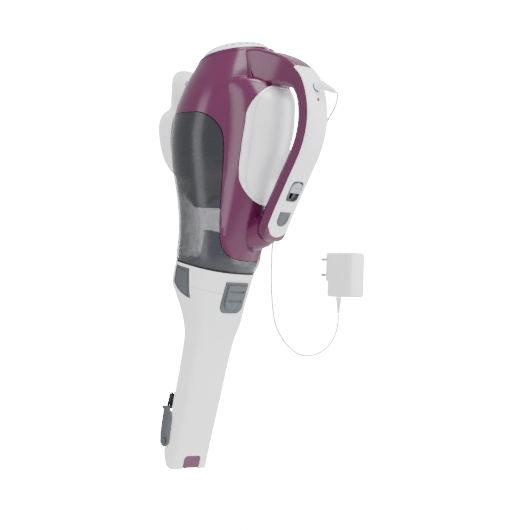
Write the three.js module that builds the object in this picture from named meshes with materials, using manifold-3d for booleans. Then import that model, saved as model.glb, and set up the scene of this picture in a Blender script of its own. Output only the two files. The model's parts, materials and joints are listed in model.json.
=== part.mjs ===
// Cordless hand vacuum on its wall bracket, with its charger plugged in.
// Millimetres. Inside this file x is across, y is the distance out from the wall and z is up.
// The last group turns the whole part half a turn, so that the wall is at Y = 0 and the vacuum faces -Y.
import * as THREE from 'three';
import { mergeVertices } from 'three/addons/utils/BufferGeometryUtils.js';
import Module from 'manifold-3d';

const wasm = await Module();
wasm.setup();

// ---------------------------------------------------------------- driving dimensions
const bodyHalfWidth = 62; // widest place of the body, across
const bodyHalfDepth = 54; // widest place of the body, out from the wall
const bodyBack = 8.3; // nearest the body comes to the wall
const rimHeight = 77; // rear rim, above the bracket's centre
const seamHeight = -152.4; // where the bowl meets the nozzle collar
const nozzleHalfWidth = 28;
const nozzleHalfDepth = 12.4;
const nozzleTip = -376.5; // front lip of the mouth
const handleHalfWidth = 16.5;
const handleDepth = 20;

const wall = 2.4; // body and bowl shells
const nozzleWall = 2.2;
const gap = 0.3; // between pieces that touch
const slip = 0.6; // between pieces that slide on each other
const around = 24; // sides of the body's sections

const bowlTop = 12; // bowl seam at the back of the body
const bowlSeamFront = -148; // lower end of the shells' tongue over the bowl
const rimBand = 3.6; // height of the rear trim ring
const collarLength = 21.5;

const motorRadius = 18;
const motorLength = 40;
const impellerRadius = 21;
const cellRadius = 7.1;
const cellLength = 49;
const cellCount = 8;
const cellCircle = 31.5;
const filterRadius = 26;
const filterFlange = 2.6; // rim of the filter's frame, beyond the filter
const filterBack = 7.7; // from the shells to the back of the filter frame
const filterRoom = 10.4; // free room in front of the filter frame
const filterLength = 62;
const cupLength = 30;

const tongueHalfWidth = 9;
const tongueThickness = 4;
const plateThickness = 4;
const cradleHalfWidth = 41;

const trackLength = 24;
const trackHalfWidth = 9.6;
const sliderLength = 11.5;
const sliderRise = 2.2; // how far the slider stands out of the cover
const buttonHalfWidth = 8.5;
const buttonLength = 16.5;
const jackRadius = 4.8;
const plugRadius = 3.1;
const cordDiameter = 2.4;

const creviceLength = 104;
const brushPivot = new THREE.Vector3(0, 11, -345);
const pinRadius = 2.2;
const armThickness = 2.6;

// ---------------------------------------------------------------- solids and materials
const vacuum = new THREE.Group();

function solid(geometry) {
  geometry.deleteAttribute('normal');
  geometry.deleteAttribute('uv');
  const merged = mergeVertices(geometry, 1e-4);
  const position = merged.attributes.position;
  const triangles = Uint32Array.from(merged.index.array);
  const corner = [0, 1, 2].map(() => new THREE.Vector3());
  let volume = 0;
  for (let k = 0; k < triangles.length; k += 3) {
    corner.forEach((point, n) => point.fromBufferAttribute(position, triangles[k + n]));
    volume += corner[0].dot(corner[1].clone().cross(corner[2]));
  }
  if (volume < 0) triangles.reverse();
  return new wasm.Manifold(new wasm.Mesh({
    numProp: 3,
    vertProperties: Float32Array.from(position.array),
    triVerts: triangles,
  }));
}

function add(name, shape, look) {
  const mesh = shape.getMesh();
  const geometry = new THREE.BufferGeometry();
  geometry.setAttribute('position', new THREE.BufferAttribute(mesh.vertProperties, 3));
  geometry.setIndex(new THREE.BufferAttribute(mesh.triVerts, 1));
  geometry.computeVertexNormals();
  const node = new THREE.Mesh(geometry, look);
  node.name = name;
  vacuum.add(node);
  return node;
}

function look(color, roughness, metalness = 0, opacity = 1) {
  return new THREE.MeshStandardMaterial({ color, roughness, metalness, opacity, transparent: opacity < 1 });
}

const purple = look('#5f2a4c', 0.22);
const white = look('#e6e7ea', 0.35);
const silver = look('#d9dadd', 0.25);
const smoke = look('#54585f', 0.12, 0, 0.5);
const grey = look('#767c80', 0.5);
const dark = look('#26272a', 0.6);
const steel = look('#b9bcc0', 0.3, 0.9);
const cellWrap = look('#3c6e54', 0.4);
const paper = look('#e9e6da', 0.9);
const board = look('#1f6b3c', 0.5);
const red = look('#c8202a', 0.2);

// A closed solid through matching rings of points.
function skin(rings) {
  const count = rings[0].length;
  const index = [];
  for (let row = 0; row + 1 < rings.length; row += 1) {
    for (let k = 0; k < count; k += 1) {
      const a = row * count + k;
      const b = row * count + (k + 1) % count;
      index.push(a, b, a + count, b, b + count, a + count);
    }
  }
  const last = (rings.length - 1) * count;
  for (let k = 1; k + 1 < count; k += 1) {
    index.push(0, k + 1, k, last, last + k, last + k + 1);
  }
  const geometry = new THREE.BufferGeometry().setFromPoints(rings.flat());
  geometry.setIndex(index);
  return solid(geometry);
}

function box(x0, x1, y0, y1, z0, z1) {
  const geometry = new THREE.BoxGeometry(x1 - x0, y1 - y0, z1 - z0);
  geometry.translate((x0 + x1) / 2, (y0 + y1) / 2, (z0 + z1) / 2);
  return solid(geometry);
}

// A solid drawn in side view, as (y, z), from x0 to x1.
function across(shape, x0, x1, curveSegments = 12) {
  const geometry = new THREE.ExtrudeGeometry(shape, { depth: x1 - x0, bevelEnabled: false, curveSegments });
  const turn = new THREE.Matrix4().makeBasis(
    new THREE.Vector3(0, 1, 0), new THREE.Vector3(0, 0, 1), new THREE.Vector3(1, 0, 0));
  geometry.applyMatrix4(turn.setPosition(x0, 0, 0));
  return solid(geometry);
}

// A solid drawn in front view, as (x, z), from y0 to y1.
function outward(shape, y0, y1, curveSegments = 8, bevel = 0) {
  const geometry = new THREE.ExtrudeGeometry(shape, {
    depth: y1 - y0 - 2 * bevel, bevelEnabled: bevel > 0, bevelThickness: bevel, bevelSize: bevel,
    bevelOffset: -bevel, bevelSegments: 2, curveSegments,
  });
  const turn = new THREE.Matrix4().makeBasis(
    new THREE.Vector3(-1, 0, 0), new THREE.Vector3(0, 0, 1), new THREE.Vector3(0, 1, 0));
  geometry.applyMatrix4(turn.setPosition(0, y0 + bevel, 0));
  return solid(geometry);
}

// A solid of revolution: profile of [radius, height] pairs, standing at a point along a direction.
function turned(profile, at, direction, sides = 24) {
  const geometry = new THREE.LatheGeometry(profile.map(([r, h]) => new THREE.Vector2(r, h)), sides);
  const turn = new THREE.Quaternion().setFromUnitVectors(new THREE.Vector3(0, 1, 0), direction);
  geometry.applyQuaternion(turn);
  geometry.translate(at.x, at.y, at.z);
  return solid(geometry);
}

function rod(radius, length, at, direction, sides = 24) {
  return turned([[0, 0], [radius, 0], [radius, length], [0, length]], at, direction, sides);
}

function tube(outer, inner, length, at, direction, sides = 24) {
  return turned([[inner, 0], [outer, 0], [outer, length], [inner, length], [inner, 0]], at, direction, sides);
}

// A solid drawn in a frame of its own: x across, y along `along`, extruded along the frame's third axis.
function plate(shape, frame, from, to, curveSegments = 6) {
  const geometry = new THREE.ExtrudeGeometry(shape, { depth: to - from, bevelEnabled: false, curveSegments });
  geometry.translate(0, 0, from);
  geometry.applyMatrix4(frame);
  return solid(geometry);
}

function polygon(points) {
  return new THREE.Shape(points.map(([u, v]) => new THREE.Vector2(u, v)));
}

function roundedRectangle(halfX, lowY, highY, radius) {
  const shape = new THREE.Shape();
  shape.moveTo(-halfX + radius, lowY);
  shape.lineTo(halfX - radius, lowY);
  shape.absarc(halfX - radius, lowY + radius, radius, -Math.PI / 2, 0);
  shape.lineTo(halfX, highY - radius);
  shape.absarc(halfX - radius, highY - radius, radius, 0, Math.PI / 2);
  shape.lineTo(-halfX + radius, highY);
  shape.absarc(-halfX + radius, highY - radius, radius, Math.PI / 2, Math.PI);
  shape.lineTo(-halfX, lowY + radius);
  shape.absarc(-halfX + radius, lowY + radius, radius, Math.PI, Math.PI * 1.5);
  return shape;
}

const up = new THREE.Vector3(0, 0, 1);
const down = new THREE.Vector3(0, 0, -1);
const out = new THREE.Vector3(0, 1, 0);

// ---------------------------------------------------------------- body sections
// Each station: height, shift of the centre, share of the half depth and of the half width,
// squareness of the section, and how much the section rises for each millimetre out from the wall.
const bodyCentre = bodyBack + bodyHalfDepth;
const bodyStations = [
  [rimHeight, 15.7, 0.77, 0.67, 2.0, 0.2],
  [66, 13.2, 0.835, 0.735, 2.0, 0.17],
  [52, 10.5, 0.91, 0.83, 2.0, 0.12],
  [36, 7.7, 0.963, 0.91, 2.0, 0.06],
  [15, 3.7, 0.995, 0.975, 2.05, 0.0],
  [-10, 0, 1.0, 1.0, 2.05, 0.0],
  [-30, -1.3, 0.982, 0.968, 2.05, 0.0],
  [-48, -1.9, 0.96, 0.912, 2.05, 0.0],
  [-66, -2.3, 0.922, 0.847, 2.0, 0.0],
  [-84, -2.3, 0.889, 0.783, 2.0, 0.0],
  [-104, -2.3, 0.861, 0.742, 2.05, -0.03],
  [-124, -2.6, 0.852, 0.726, 2.1, -0.1],
  [-140, -4.5, 0.833, 0.715, 2.2, -0.17],
  [seamHeight, -8.7, 0.72, 0.669, 2.6, -0.22],
];
// The nozzle's stations: height, centre, half depth and half width as shares of the nozzle's own
// section, squareness and rise.
const nozzleStations = [
  [-176, 47.0, 2.9, 1.39, 3, -0.24],
  [-190, 48.0, 2.46, 1.28, 3.3, -0.24],
  [-208, 50.1, 1.74, 1.17, 4.5, -0.23],
  [-226, 48.4, 1.2, 1.05, 7, -0.22],
  [-250, 43.0, 1.02, 1.0, 8, -0.2],
  [-300, 31.4, 0.985, 0.972, 8, -0.1],
  [-345, 20.6, 0.95, 0.95, 8, 0],
  [-381, 11.8, 0.88, 0.97, 8, 0],
];
const stations = [
  ...bodyStations.map(([z, shift, depth, width, squareness, rise]) => (
    { z, centre: bodyCentre + shift, depth: depth * bodyHalfDepth, width: width * bodyHalfWidth,
      squareness, rise })),
  ...nozzleStations.map(([z, centre, depth, width, squareness, rise]) => (
    { z, centre, depth: depth * nozzleHalfDepth, width: width * nozzleHalfWidth, squareness, rise })),
];

// Smooth value of one column between the stations.
function between(z, key) {
  let n = stations.findIndex((station) => station.z <= z) - 1;
  if (n < 0) n = z >= stations[0].z ? 0 : stations.length - 2;
  const slope = (k) => {
    const before = stations[Math.max(k - 1, 0)];
    const after = stations[Math.min(k + 1, stations.length - 1)];
    return (after[key] - before[key]) / (after.z - before.z);
  };
  const from = stations[n];
  const to = stations[n + 1];
  const span = to.z - from.z;
  const s = THREE.MathUtils.clamp((z - from.z) / span, 0, 1);
  const s2 = s * s;
  const s3 = s2 * s;
  return (2 * s3 - 3 * s2 + 1) * from[key] + (s3 - 2 * s2 + s) * span * slope(n)
    + (3 * s2 - 2 * s3) * to[key] + (s3 - s2) * span * slope(n + 1);
}

function section(z, inset) {
  const centre = between(z, 'centre');
  const depth = between(z, 'depth') - inset;
  const width = between(z, 'width') - inset;
  const power = 2 / between(z, 'squareness');
  const rise = between(z, 'rise');
  const ring = [];
  for (let k = 0; k < around; k += 1) {
    const angle = (k / around) * Math.PI * 2;
    const c = Math.cos(angle);
    const s = Math.sin(angle);
    const x = Math.sign(c) * Math.abs(c) ** power * width;
    const outBy = Math.sign(s) * Math.abs(s) ** power * depth;
    ring.push(new THREE.Vector3(x, centre + outBy, z + rise * outBy));
  }
  return ring;
}

function levels(from, to, count) {
  return Array.from({ length: count + 1 }, (_, k) => from + ((to - from) * k) / count);
}

function loft(heights, inset) {
  return skin(heights.map((z) => section(z, inset)));
}

const bodyHeights = levels(rimHeight, seamHeight, 10);
const bodyOuter = loft(bodyHeights, 0);
const bodyInner = loft([rimHeight + 6, ...bodyHeights, seamHeight - 6], wall);
const bodyMiddle = loft([rimHeight + 3, ...bodyHeights], wall / 2);

// The raised spine of the shells under the handle: height, centre, half width and reach.
const spineStations = [
  [56, 80, 32, 34], [46, 82, 43, 56], [24, 85, 43, 63], [0, 85, 42, 63], [-30, 82, 39.5, 60],
  [-60, 80, 37, 49.5], [-90, 78, 36, 44], [-120, 74.5, 35, 38.5], [-150, 66, 33, 36],
];

function spine(inset) {
  return skin(spineStations.map(([z, centre, halfWidth, reach]) => {
    const ring = [];
    for (let k = 0; k < around; k += 1) {
      const angle = (k / around) * Math.PI * 2;
      const c = Math.cos(angle);
      const s = Math.sin(angle);
      ring.push(new THREE.Vector3(Math.sign(c) * Math.abs(c) ** 0.8 * (halfWidth - inset),
        centre + Math.sign(s) * Math.abs(s) ** 0.8 * (s > 0 ? reach - inset : 12), z));
    }
    return ring;
  }));
}

// Region above a plane that crosses the body: height at the centre and rise.
function above(height, centre, rise, reach = 130) {
  const low = -60;
  const high = 190;
  return across(polygon([
    [low, height + rise * (low - centre)], [high, height + rise * (high - centre)],
    [high, height + reach], [low, height + reach],
  ]), -100, 100);
}

const rimRise = 0.2;
const rimCentre = between(rimHeight, 'centre');
const ringSeam = rimHeight - rimBand;

// The seam between the shells and the bowl, in side view; shift moves it back and down.
const tongueBack = 90.5;
const tongueCorner = 100.5;
function shellRegion(shift) {
  const shape = new THREE.Shape();
  shape.moveTo(-60 - shift, bowlTop - shift);
  shape.lineTo(72 - shift, bowlTop - shift);
  shape.bezierCurveTo(88 - shift, bowlTop - shift, tongueCorner - shift, 2 - shift,
    tongueCorner - shift, -16 - shift);
  shape.bezierCurveTo(tongueCorner - shift, -48 - shift, tongueBack - shift, -72 - shift,
    tongueBack - shift, -112 - shift);
  shape.bezierCurveTo(tongueBack - shift, -136 - shift, 96 - shift, bowlSeamFront - shift,
    112 - shift, bowlSeamFront - shift);
  shape.lineTo(160, bowlSeamFront - shift);
  shape.lineTo(160, 160);
  shape.lineTo(-60 - shift, 160);
  return across(shape, -100, 100, 4);
}

// ---------------------------------------------------------------- handle
// The handle's outer line in side view, from the rear rim round to the chin.
const handleLine = new THREE.CatmullRomCurve3([
  [98, 74], [118, 81.5], [143.5, 76], [167, 65.5], [184.5, 50], [193.5, 28], [196, 2], [190, -26],
  [169, -66], [152.5, -96], [137.5, -127],
].map(([y, z]) => new THREE.Vector3(0, y, z)), false, 'centripetal');
const coverStart = 0.286;
const coverEnd = 0.985;
const coverRound = 15; // length of the cover's round lower end
const coverThickness = wall + 0.2; // reaches just past the shells' wall

// Frame on the outer line: x across, y back along the line, z outward.
function handleFrame(share) {
  const at = handleLine.getPointAt(share);
  const along = handleLine.getTangentAt(share);
  const backward = along.clone().negate();
  const outwards = new THREE.Vector3(0, -along.z, along.y);
  return new THREE.Matrix4().makeBasis(new THREE.Vector3(-1, 0, 0), backward, outwards).setPosition(at);
}

function handleSize(share) {
  const root = 1 - THREE.MathUtils.smoothstep(share, 0.05, 0.42);
  const flare = 1 - THREE.MathUtils.smoothstep(share, 0.02, 0.26);
  return { halfWidth: handleHalfWidth + 9 * flare, depth: handleDepth + 23 * root };
}

// Section of the handle: flat outside with small corners, rounder on the palm side.
function handleSection(share, inset, shrink = 1) {
  const { halfWidth, depth } = handleSize(share);
  const shape = new THREE.Shape();
  const half = (halfWidth - inset) * shrink;
  const low = -depth * (0.5 + shrink / 2) + inset;
  const high = -depth * (0.5 - shrink / 2) - inset;
  const small = 3.2;
  const large = Math.min(8, half - 1, (high - low) / 2);
  shape.moveTo(half, high - small);
  shape.quadraticCurveTo(half, high, half - small, high);
  shape.lineTo(-half + small, high);
  shape.quadraticCurveTo(-half, high, -half, high - small);
  shape.lineTo(-half, low + large);
  shape.quadraticCurveTo(-half, low, -half + large, low);
  shape.lineTo(half - large, low);
  shape.quadraticCurveTo(half, low, half, low + large);
  const frame = handleFrame(share);
  return shape.getPoints(2).slice(0, -1).map((p) => new THREE.Vector3(p.x, 0, p.y).applyMatrix4(frame));
}

function handleSweep(inset) {
  const rings = levels(0, 0.965, 15).map((share) => handleSection(share, inset));
  if (inset < wall) {
    rings.push(handleSection(0.988, inset, 0.9));
    rings.push(handleSection(1, inset, 0.66));
  }
  return skin(rings);
}

// Region outside a line parallel to the handle's outer line, in side view.
function coverRegion(below, from, to) {
  const inner = levels(from, to, 11).map((share) => {
    const p = new THREE.Vector3(0, 0, -below).applyMatrix4(handleFrame(share));
    return [p.y, p.z];
  });
  const outer = levels(to, from, 11).map((share) => {
    const p = new THREE.Vector3(0, 0, 12).applyMatrix4(handleFrame(share));
    return [p.y, p.z];
  });
  return across(polygon([...inner, ...outer]), -40, 40);
}

const handleOuter = handleSweep(0);
const handleMiddle = handleSweep(wall / 2);
const handleHollow = handleSweep(wall);

// The cover's outline seen from outside: round at its lower end.
function coverEndRound(grow) {
  const shape = new THREE.Shape();
  const half = handleHalfWidth + 0.1 + grow;
  shape.moveTo(half, 60);
  shape.lineTo(half, 0);
  shape.absellipse(0, 0, half, coverRound + grow, 0, -Math.PI, true);
  shape.lineTo(-half, 60);
  const ahead = new THREE.Shape();
  ahead.moveTo(-40, 0);
  ahead.lineTo(40, 0);
  ahead.lineTo(40, 400);
  ahead.lineTo(-40, 400);
  const frame = handleFrame(0.925);
  return plate(shape, frame, -10, 12, 5).add(plate(ahead, frame, -300, 60));
}

// The foot that carries the handle's lower end on the tongue.
function foot(inset) {
  const rows = [[88, -119, 19, 15.5], [102, -118, 19, 15.2], [116, -116, 18.5, 15], [128, -114, 16, 14.5],
    [137, -111, 12, 13.8]];
  return skin(rows.map(([y, z, halfHeight, halfWidth]) => {
    const ring = [];
    for (let k = 0; k < 16; k += 1) {
      const angle = (k / 16) * Math.PI * 2;
      ring.push(new THREE.Vector3((halfWidth - inset) * Math.cos(angle), y,
        z + (halfHeight - inset) * Math.sin(angle)));
    }
    return ring;
  }));
}

// ---------------------------------------------------------------- wall bracket
const hookDirection = new THREE.Vector3(0, 0.6, 0.8);
const hookFoot = new THREE.Vector3(0, 6, 10);
const hookLength = 30;

function hookPrism(clearance, from, to) {
  const frame = new THREE.Matrix4().makeBasis(
    new THREE.Vector3(1, 0, 0), new THREE.Vector3(0, 0.8, -0.6), hookDirection).setPosition(hookFoot);
  const half = tongueHalfWidth + clearance;
  const thick = tongueThickness / 2 + clearance;
  return plate(roundedRectangle(half, -thick, thick, 1), frame, from, to, 2);
}

function bracketOutline() {
  const shape = new THREE.Shape();
  shape.moveTo(0, 68);
  shape.bezierCurveTo(14, 68, 22, 63, 22, 50);
  shape.lineTo(23, 26);
  shape.bezierCurveTo(25, 18, cradleHalfWidth, 20, cradleHalfWidth, 0);
  shape.bezierCurveTo(cradleHalfWidth, -24, 27, -53, 0, -53);
  shape.bezierCurveTo(-27, -53, -cradleHalfWidth, -24, -cradleHalfWidth, 0);
  shape.bezierCurveTo(-cradleHalfWidth, 20, -25, 18, -23, 26);
  shape.lineTo(-22, 50);
  shape.bezierCurveTo(-22, 63, -14, 68, 0, 68);
  return shape;
}

const cradleDepth = 27;
const bodyClear = loft(levels(60, -70, 7), -1.6);
const screwHeights = [52, -34];
const screwShank = 2;
const screwHead = 4;

function makeBracket() {
  let bracket = outward(bracketOutline(), 0, plateThickness, 4, 0);
  const cradle = outward(bracketOutline(), 0, cradleDepth, 4, 5).subtract(above(19, 0, 0));
  bracket = bracket.add(cradle.subtract(bodyClear));
  bracket = bracket.add(hookPrism(0, 0, hookLength).subtract(box(-30, 30, -20, 0.5, -20, 60)));
  for (const z of screwHeights) {
    bracket = bracket.subtract(rod(screwShank + gap, 20, new THREE.Vector3(0, -5, z), out, 16));
    bracket = bracket.subtract(rod(screwHead + gap, 30, new THREE.Vector3(0, 1.9, z), out, 16));
  }
  add('wall_bracket', bracket, white);
  screwHeights.forEach((z, n) => {
    const screw = turned([[0, 0.2], [screwShank, 0.2], [screwShank, 2.2], [screwHead, 2.2], [screwHead, 3.2],
      [2.4, 4.2], [0, 4.2]], new THREE.Vector3(0, 0, z), out, 16);
    add(`bracket_screw_${['upper', 'lower'][n]}`, screw, steel);
  });
}

// ---------------------------------------------------------------- body shells
function panelOutline(grow) {
  const shape = new THREE.Shape();
  const half = 36 + grow;
  const top = 42 + grow;
  const low = -86.5 - grow;
  shape.moveTo(0, top);
  shape.bezierCurveTo(20, top, half - 2, 33, half - 0.2, 10);
  shape.bezierCurveTo(half + 0.4, -6, half - 1.8, -38, half - 4.4, -54);
  shape.bezierCurveTo(half - 7, -76, 16, low, 0, low);
  shape.bezierCurveTo(-16, low, 7 - half, -76, 4.4 - half, -54);
  shape.bezierCurveTo(1.8 - half, -38, -half - 0.4, -6, 0.2 - half, 10);
  shape.bezierCurveTo(2 - half, 33, -20, top, 0, top);
  return shape;
}

const motorBase = 30;
const cellBase = bowlTop + 3.5;
const cellCentre = between(cellBase + cellLength, 'centre');
const motorAxis = new THREE.Vector3(0, cellCentre, 0);

function shellScrewPlaces() {
  return [
    { at: new THREE.Vector3(0, 0, 4.6 - handleSize(0.6).depth).applyMatrix4(handleFrame(0.6)), reach: 16.2 },
    { at: new THREE.Vector3(0, 0, 4.6 - handleSize(0.34).depth).applyMatrix4(handleFrame(0.34)), reach: 16.2 },
    { at: new THREE.Vector3(0, 118, -128), reach: 13.6 },
  ];
}

function makeShells() {
  const belowRing = above(ringSeam - gap / 2, rimCentre, rimRise);
  const hollow = bodyInner.add(spine(wall));
  const body = bodyOuter.add(spine(0)).subtract(hollow).intersect(shellRegion(0)).subtract(belowRing);
  const grip = handleOuter.subtract(handleHollow.intersect(box(-60, 60, 124, 250, -200, 200)))
    .subtract(bodyMiddle)
    .subtract(spine(wall / 2))
    .subtract(belowRing.intersect(box(-90, 90, -60, 121, -60, 200)))
    .subtract(coverRegion(coverThickness + gap, coverStart, coverEnd).intersect(coverEndRound(gap)));
  const stalk = foot(0).subtract(foot(wall)).subtract(bodyMiddle).subtract(spine(wall / 2))
    .subtract(handleMiddle);
  const stalkPassage = foot(wall + 0.5).intersect(handleOuter).subtract(coverRegion(wall + 1, 0.7, 1));
  let shell = body.add(grip.subtract(stalkPassage)).add(stalk);
  shell = shell.subtract(outward(panelOutline(gap), 84, 150).intersect(spine(-1.4)).subtract(spine(wall + 4)));
  shell = shell.subtract(hookPrism(slip, -30, hookLength + 1.5));
  const places = shellScrewPlaces();
  for (const { at } of places) {
    shell = shell.add(rod(3.4, 24, at.clone().setX(-12), new THREE.Vector3(1, 0, 0), 12)
      .intersect(handleOuter.add(foot(0))));
    shell = shell.subtract(rod(1.6, 60, at.clone().setX(-50), new THREE.Vector3(1, 0, 0), 12));
  }
  for (const { at, reach } of places) {
    shell = shell.subtract(rod(2.9, 20, at.clone().setX(-reach + 2.2 - 20), new THREE.Vector3(1, 0, 0), 12));
  }
  add('near_shell', shell.subtract(box(-100, gap / 2, -60, 250, -200, 200)), purple);
  add('far_shell', shell.subtract(box(-gap / 2, 100, -60, 250, -200, 200)), purple);
  places.forEach(({ at, reach }, n) => {
    const screw = turned([[0, 0], [2.6, 0], [2.6, 1.6], [1.3, 1.6], [1.3, 14], [0, 15]],
      at.clone().setX(-reach + 0.3), new THREE.Vector3(1, 0, 0), 12);
    add(`shell_screw_${n + 1}`, screw, steel);
  });
}

function makeRearRing() {
  const ring = bodyOuter.subtract(bodyInner).intersect(above(ringSeam + gap / 2, rimCentre, rimRise));
  add('rear_trim_ring', ring, purple);
}

function makePanel() {
  const skinShape = spine(-0.8).subtract(spine(1.6));
  add('under_handle_panel', skinShape.intersect(outward(panelOutline(0), 84, 150)), silver);
}

// ---------------------------------------------------------------- rear vent
const rimAxis = new THREE.Vector3(0, -rimRise, 1).normalize();
const ventRadius = Math.min(between(rimHeight, 'width'), between(rimHeight, 'depth')) - wall - slip;
const ventSlots = 12;

function makeVent() {
  const at = new THREE.Vector3(0, rimCentre, rimHeight).addScaledVector(rimAxis, -3);
  const r = ventRadius;
  const dome = [[r, 0], [r, 3.4], [r - 1.8, 7.2], [r - 5, 10.4], [r - 11, 13], [r - 20, 14.9], [0, 16]];
  const inside = [[0, 13.8], [r - 20.6, 12.7], [r - 12, 11], [r - 7, 8.9], [r - 4, 6.2], [r - 2.2, 3],
    [r - 2.2, 0]];
  let vent = turned([...dome, ...inside, dome[0]], at, rimAxis, 24);
  const rows = [[r - 4.6, 8.4, 0.85], [r - 13, 12.6, 0.3]]; // radius, height and lean of the slots
  for (const [radius, height, lean] of rows) {
    for (let k = 0; k < ventSlots; k += 1) {
      const slot = new THREE.BoxGeometry(10, 1.6, 4.2);
      slot.rotateZ(Math.PI / 2 - lean);
      slot.translate(radius, height, 0);
      slot.rotateY((k / ventSlots) * Math.PI * 2);
      slot.applyQuaternion(new THREE.Quaternion().setFromUnitVectors(new THREE.Vector3(0, 1, 0), rimAxis));
      slot.translate(at.x, at.y, at.z);
      vent = vent.subtract(solid(slot));
    }
  }
  add('rear_vent_grille', vent, white);
}

// ---------------------------------------------------------------- grip cover, switch and button
const trackShare = 0.79;
const buttonShare = 0.904;
const ledShare = 0.432;
const jackShare = 0.386;

function trackFrame() {
  return handleFrame(trackShare);
}

// A D shape: square at one end, round at the other.
function dShape(half, low, high, roundHigh) {
  const shape = new THREE.Shape();
  const flat = roundHigh ? low : high;
  const round = roundHigh ? high - half : low + half;
  shape.moveTo(half, flat);
  shape.lineTo(half, round);
  shape.absarc(0, round, half, 0, roundHigh ? Math.PI : -Math.PI, !roundHigh);
  shape.lineTo(-half, flat);
  return shape;
}

function makeGripCover() {
  let cover = handleOuter.intersect(coverRegion(coverThickness, coverStart + 0.001, coverEnd))
    .intersect(coverEndRound(0));
  const half = trackLength / 2;
  cover = cover.subtract(plate(roundedRectangle(trackHalfWidth + gap, -half - gap, half + gap, 3),
    trackFrame(), -8, 6, 4));
  cover = cover.subtract(plate(dShape(buttonHalfWidth + slip / 2, -buttonLength / 2 - gap,
    buttonLength / 2 + gap, false), handleFrame(buttonShare), -8, 6, 6));
  for (const [share, radius] of [[ledShare, 1.9 + gap], [jackShare, jackRadius + gap]]) {
    const frame = handleFrame(share);
    const axis = new THREE.Vector3(0, 0, 1).transformDirection(frame);
    const at = new THREE.Vector3(0, 0, -10).applyMatrix4(frame);
    cover = cover.subtract(rod(radius, 20, at, axis, 16));
  }
  add('handle_grip_cover', cover, white);
}

function makeSwitch() {
  const half = trackLength / 2;
  const tray = plate(roundedRectangle(trackHalfWidth, -half, half, 3), trackFrame(), -4.4, -0.3, 4)
    .subtract(plate(roundedRectangle(trackHalfWidth - 1.2, -half + 1.2, half - 1.2, 0.5), trackFrame(), -2.6, 3, 2))
    .subtract(plate(roundedRectangle(2.4, -half + 2.6, half - 4, 1), trackFrame(), -8, 3, 3));
  add('switch_tray', tray, dark);
  const sliderHalf = trackHalfWidth - 1.2 - gap;
  const sliderTo = half - 1.2 - gap;
  const sliderFrom = sliderTo - sliderLength;
  const knob = plate(dShape(sliderHalf, sliderFrom, sliderTo, true), trackFrame(), -2.3, sliderRise, 6)
    .add(plate(roundedRectangle(1.9, sliderFrom + 5, sliderTo - 3.5, 0.8), trackFrame(), -6, -2, 3));
  add('power_slider', knob, grey);
  const carrier = plate(roundedRectangle(5.5, -9, 9, 1), trackFrame(), -11.5, -6.4, 2);
  add('micro_switch', carrier, dark);
}

function makeButton() {
  const frame = handleFrame(buttonShare);
  const cap = plate(dShape(buttonHalfWidth, -buttonLength / 2, buttonLength / 2, false), frame, -4.8, 0.9, 6)
    .add(plate(roundedRectangle(3, -3, 3, 0.8), frame, -7.6, -4, 2));
  add('bowl_release_button', cap, grey);
}

function makeLedAndJack() {
  const ledFrame = handleFrame(ledShare);
  const ledAxis = new THREE.Vector3(0, 0, 1).transformDirection(ledFrame);
  const ledAt = new THREE.Vector3(0, 0, -4.5).applyMatrix4(ledFrame);
  add('charge_led', turned([[0, 0], [1.9, 0], [1.9, 4.5], [1.2, 5.2], [0, 5.5]], ledAt, ledAxis, 16), red);
  const frame = handleFrame(jackShare);
  const axis = new THREE.Vector3(0, 0, 1).transformDirection(frame);
  const at = new THREE.Vector3(0, 0, -12).applyMatrix4(frame);
  const bore = plugRadius + slip / 2;
  add('charge_jack', turned([[0, 0], [jackRadius, 0], [jackRadius, 12.4], [bore, 12.4], [bore, 1.5], [0, 1.5]],
    at, axis, 20), dark);
}

// ---------------------------------------------------------------- motor, fan and battery
function makeMotor() {
  const base = motorAxis.clone().setZ(motorBase);
  const can = turned([[3, 0], [motorRadius, 0], [motorRadius, motorLength], [3, motorLength],
    [3, motorLength - 2], [motorRadius - 2, motorLength - 2], [motorRadius - 2, 2], [3, 2], [3, 0]],
  base, up, 16);
  add('motor_can', can, steel);
  const rotor = turned([[0, 0], [1.6, 0], [1.6, 20], [motorRadius - 4, 20], [motorRadius - 4, 46], [1.6, 46],
    [1.6, 58], [0, 58]], motorAxis.clone().setZ(motorBase - 15), up, 16);
  add('motor_rotor', rotor, steel);
  let fan = turned([[1.7, 0], [impellerRadius, 0], [impellerRadius, 1.2], [4, 1.2], [4, 8], [1.7, 8], [1.7, 0]],
    motorAxis.clone().setZ(motorBase - 13), up, 16);
  for (let k = 0; k < 8; k += 1) {
    const blade = new THREE.BoxGeometry(impellerRadius - 5, 1.4, 6.2);
    blade.translate(3.2 + (impellerRadius - 5) / 2, 0, 4);
    blade.rotateZ((k / 8) * Math.PI * 2);
    blade.translate(0, motorAxis.y, motorBase - 13);
    fan = fan.add(solid(blade));
  }
  add('impeller', fan, dark);
}

function makeBulkhead() {
  const rows = [bowlTop + 0.6, bowlTop + 3];
  let disc = skin(rows.map((z) => section(z, wall + 1)));
  disc = disc.subtract(rod(impellerRadius - 6, 10, motorAxis.clone().setZ(bowlTop - 3), up, 16));
  disc = disc.intersect(box(-100, 100, -50, 96, -50, 100));
  add('motor_bulkhead', disc, grey);
  const shroud = tube(impellerRadius + 3, impellerRadius + 1.2, 9.4, motorAxis.clone().setZ(bowlTop + 3 + gap), up, 16);
  const mount = tube(impellerRadius + 3, motorRadius + gap, 2.2, motorAxis.clone().setZ(motorBase + 4), up, 16);
  const neck = tube(impellerRadius + 3, impellerRadius + 1.2, motorBase + 4.5 - bowlTop - 12,
    motorAxis.clone().setZ(bowlTop + 12), up, 16);
  add('fan_shroud', shroud.add(neck).add(mount), dark);
}

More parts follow.
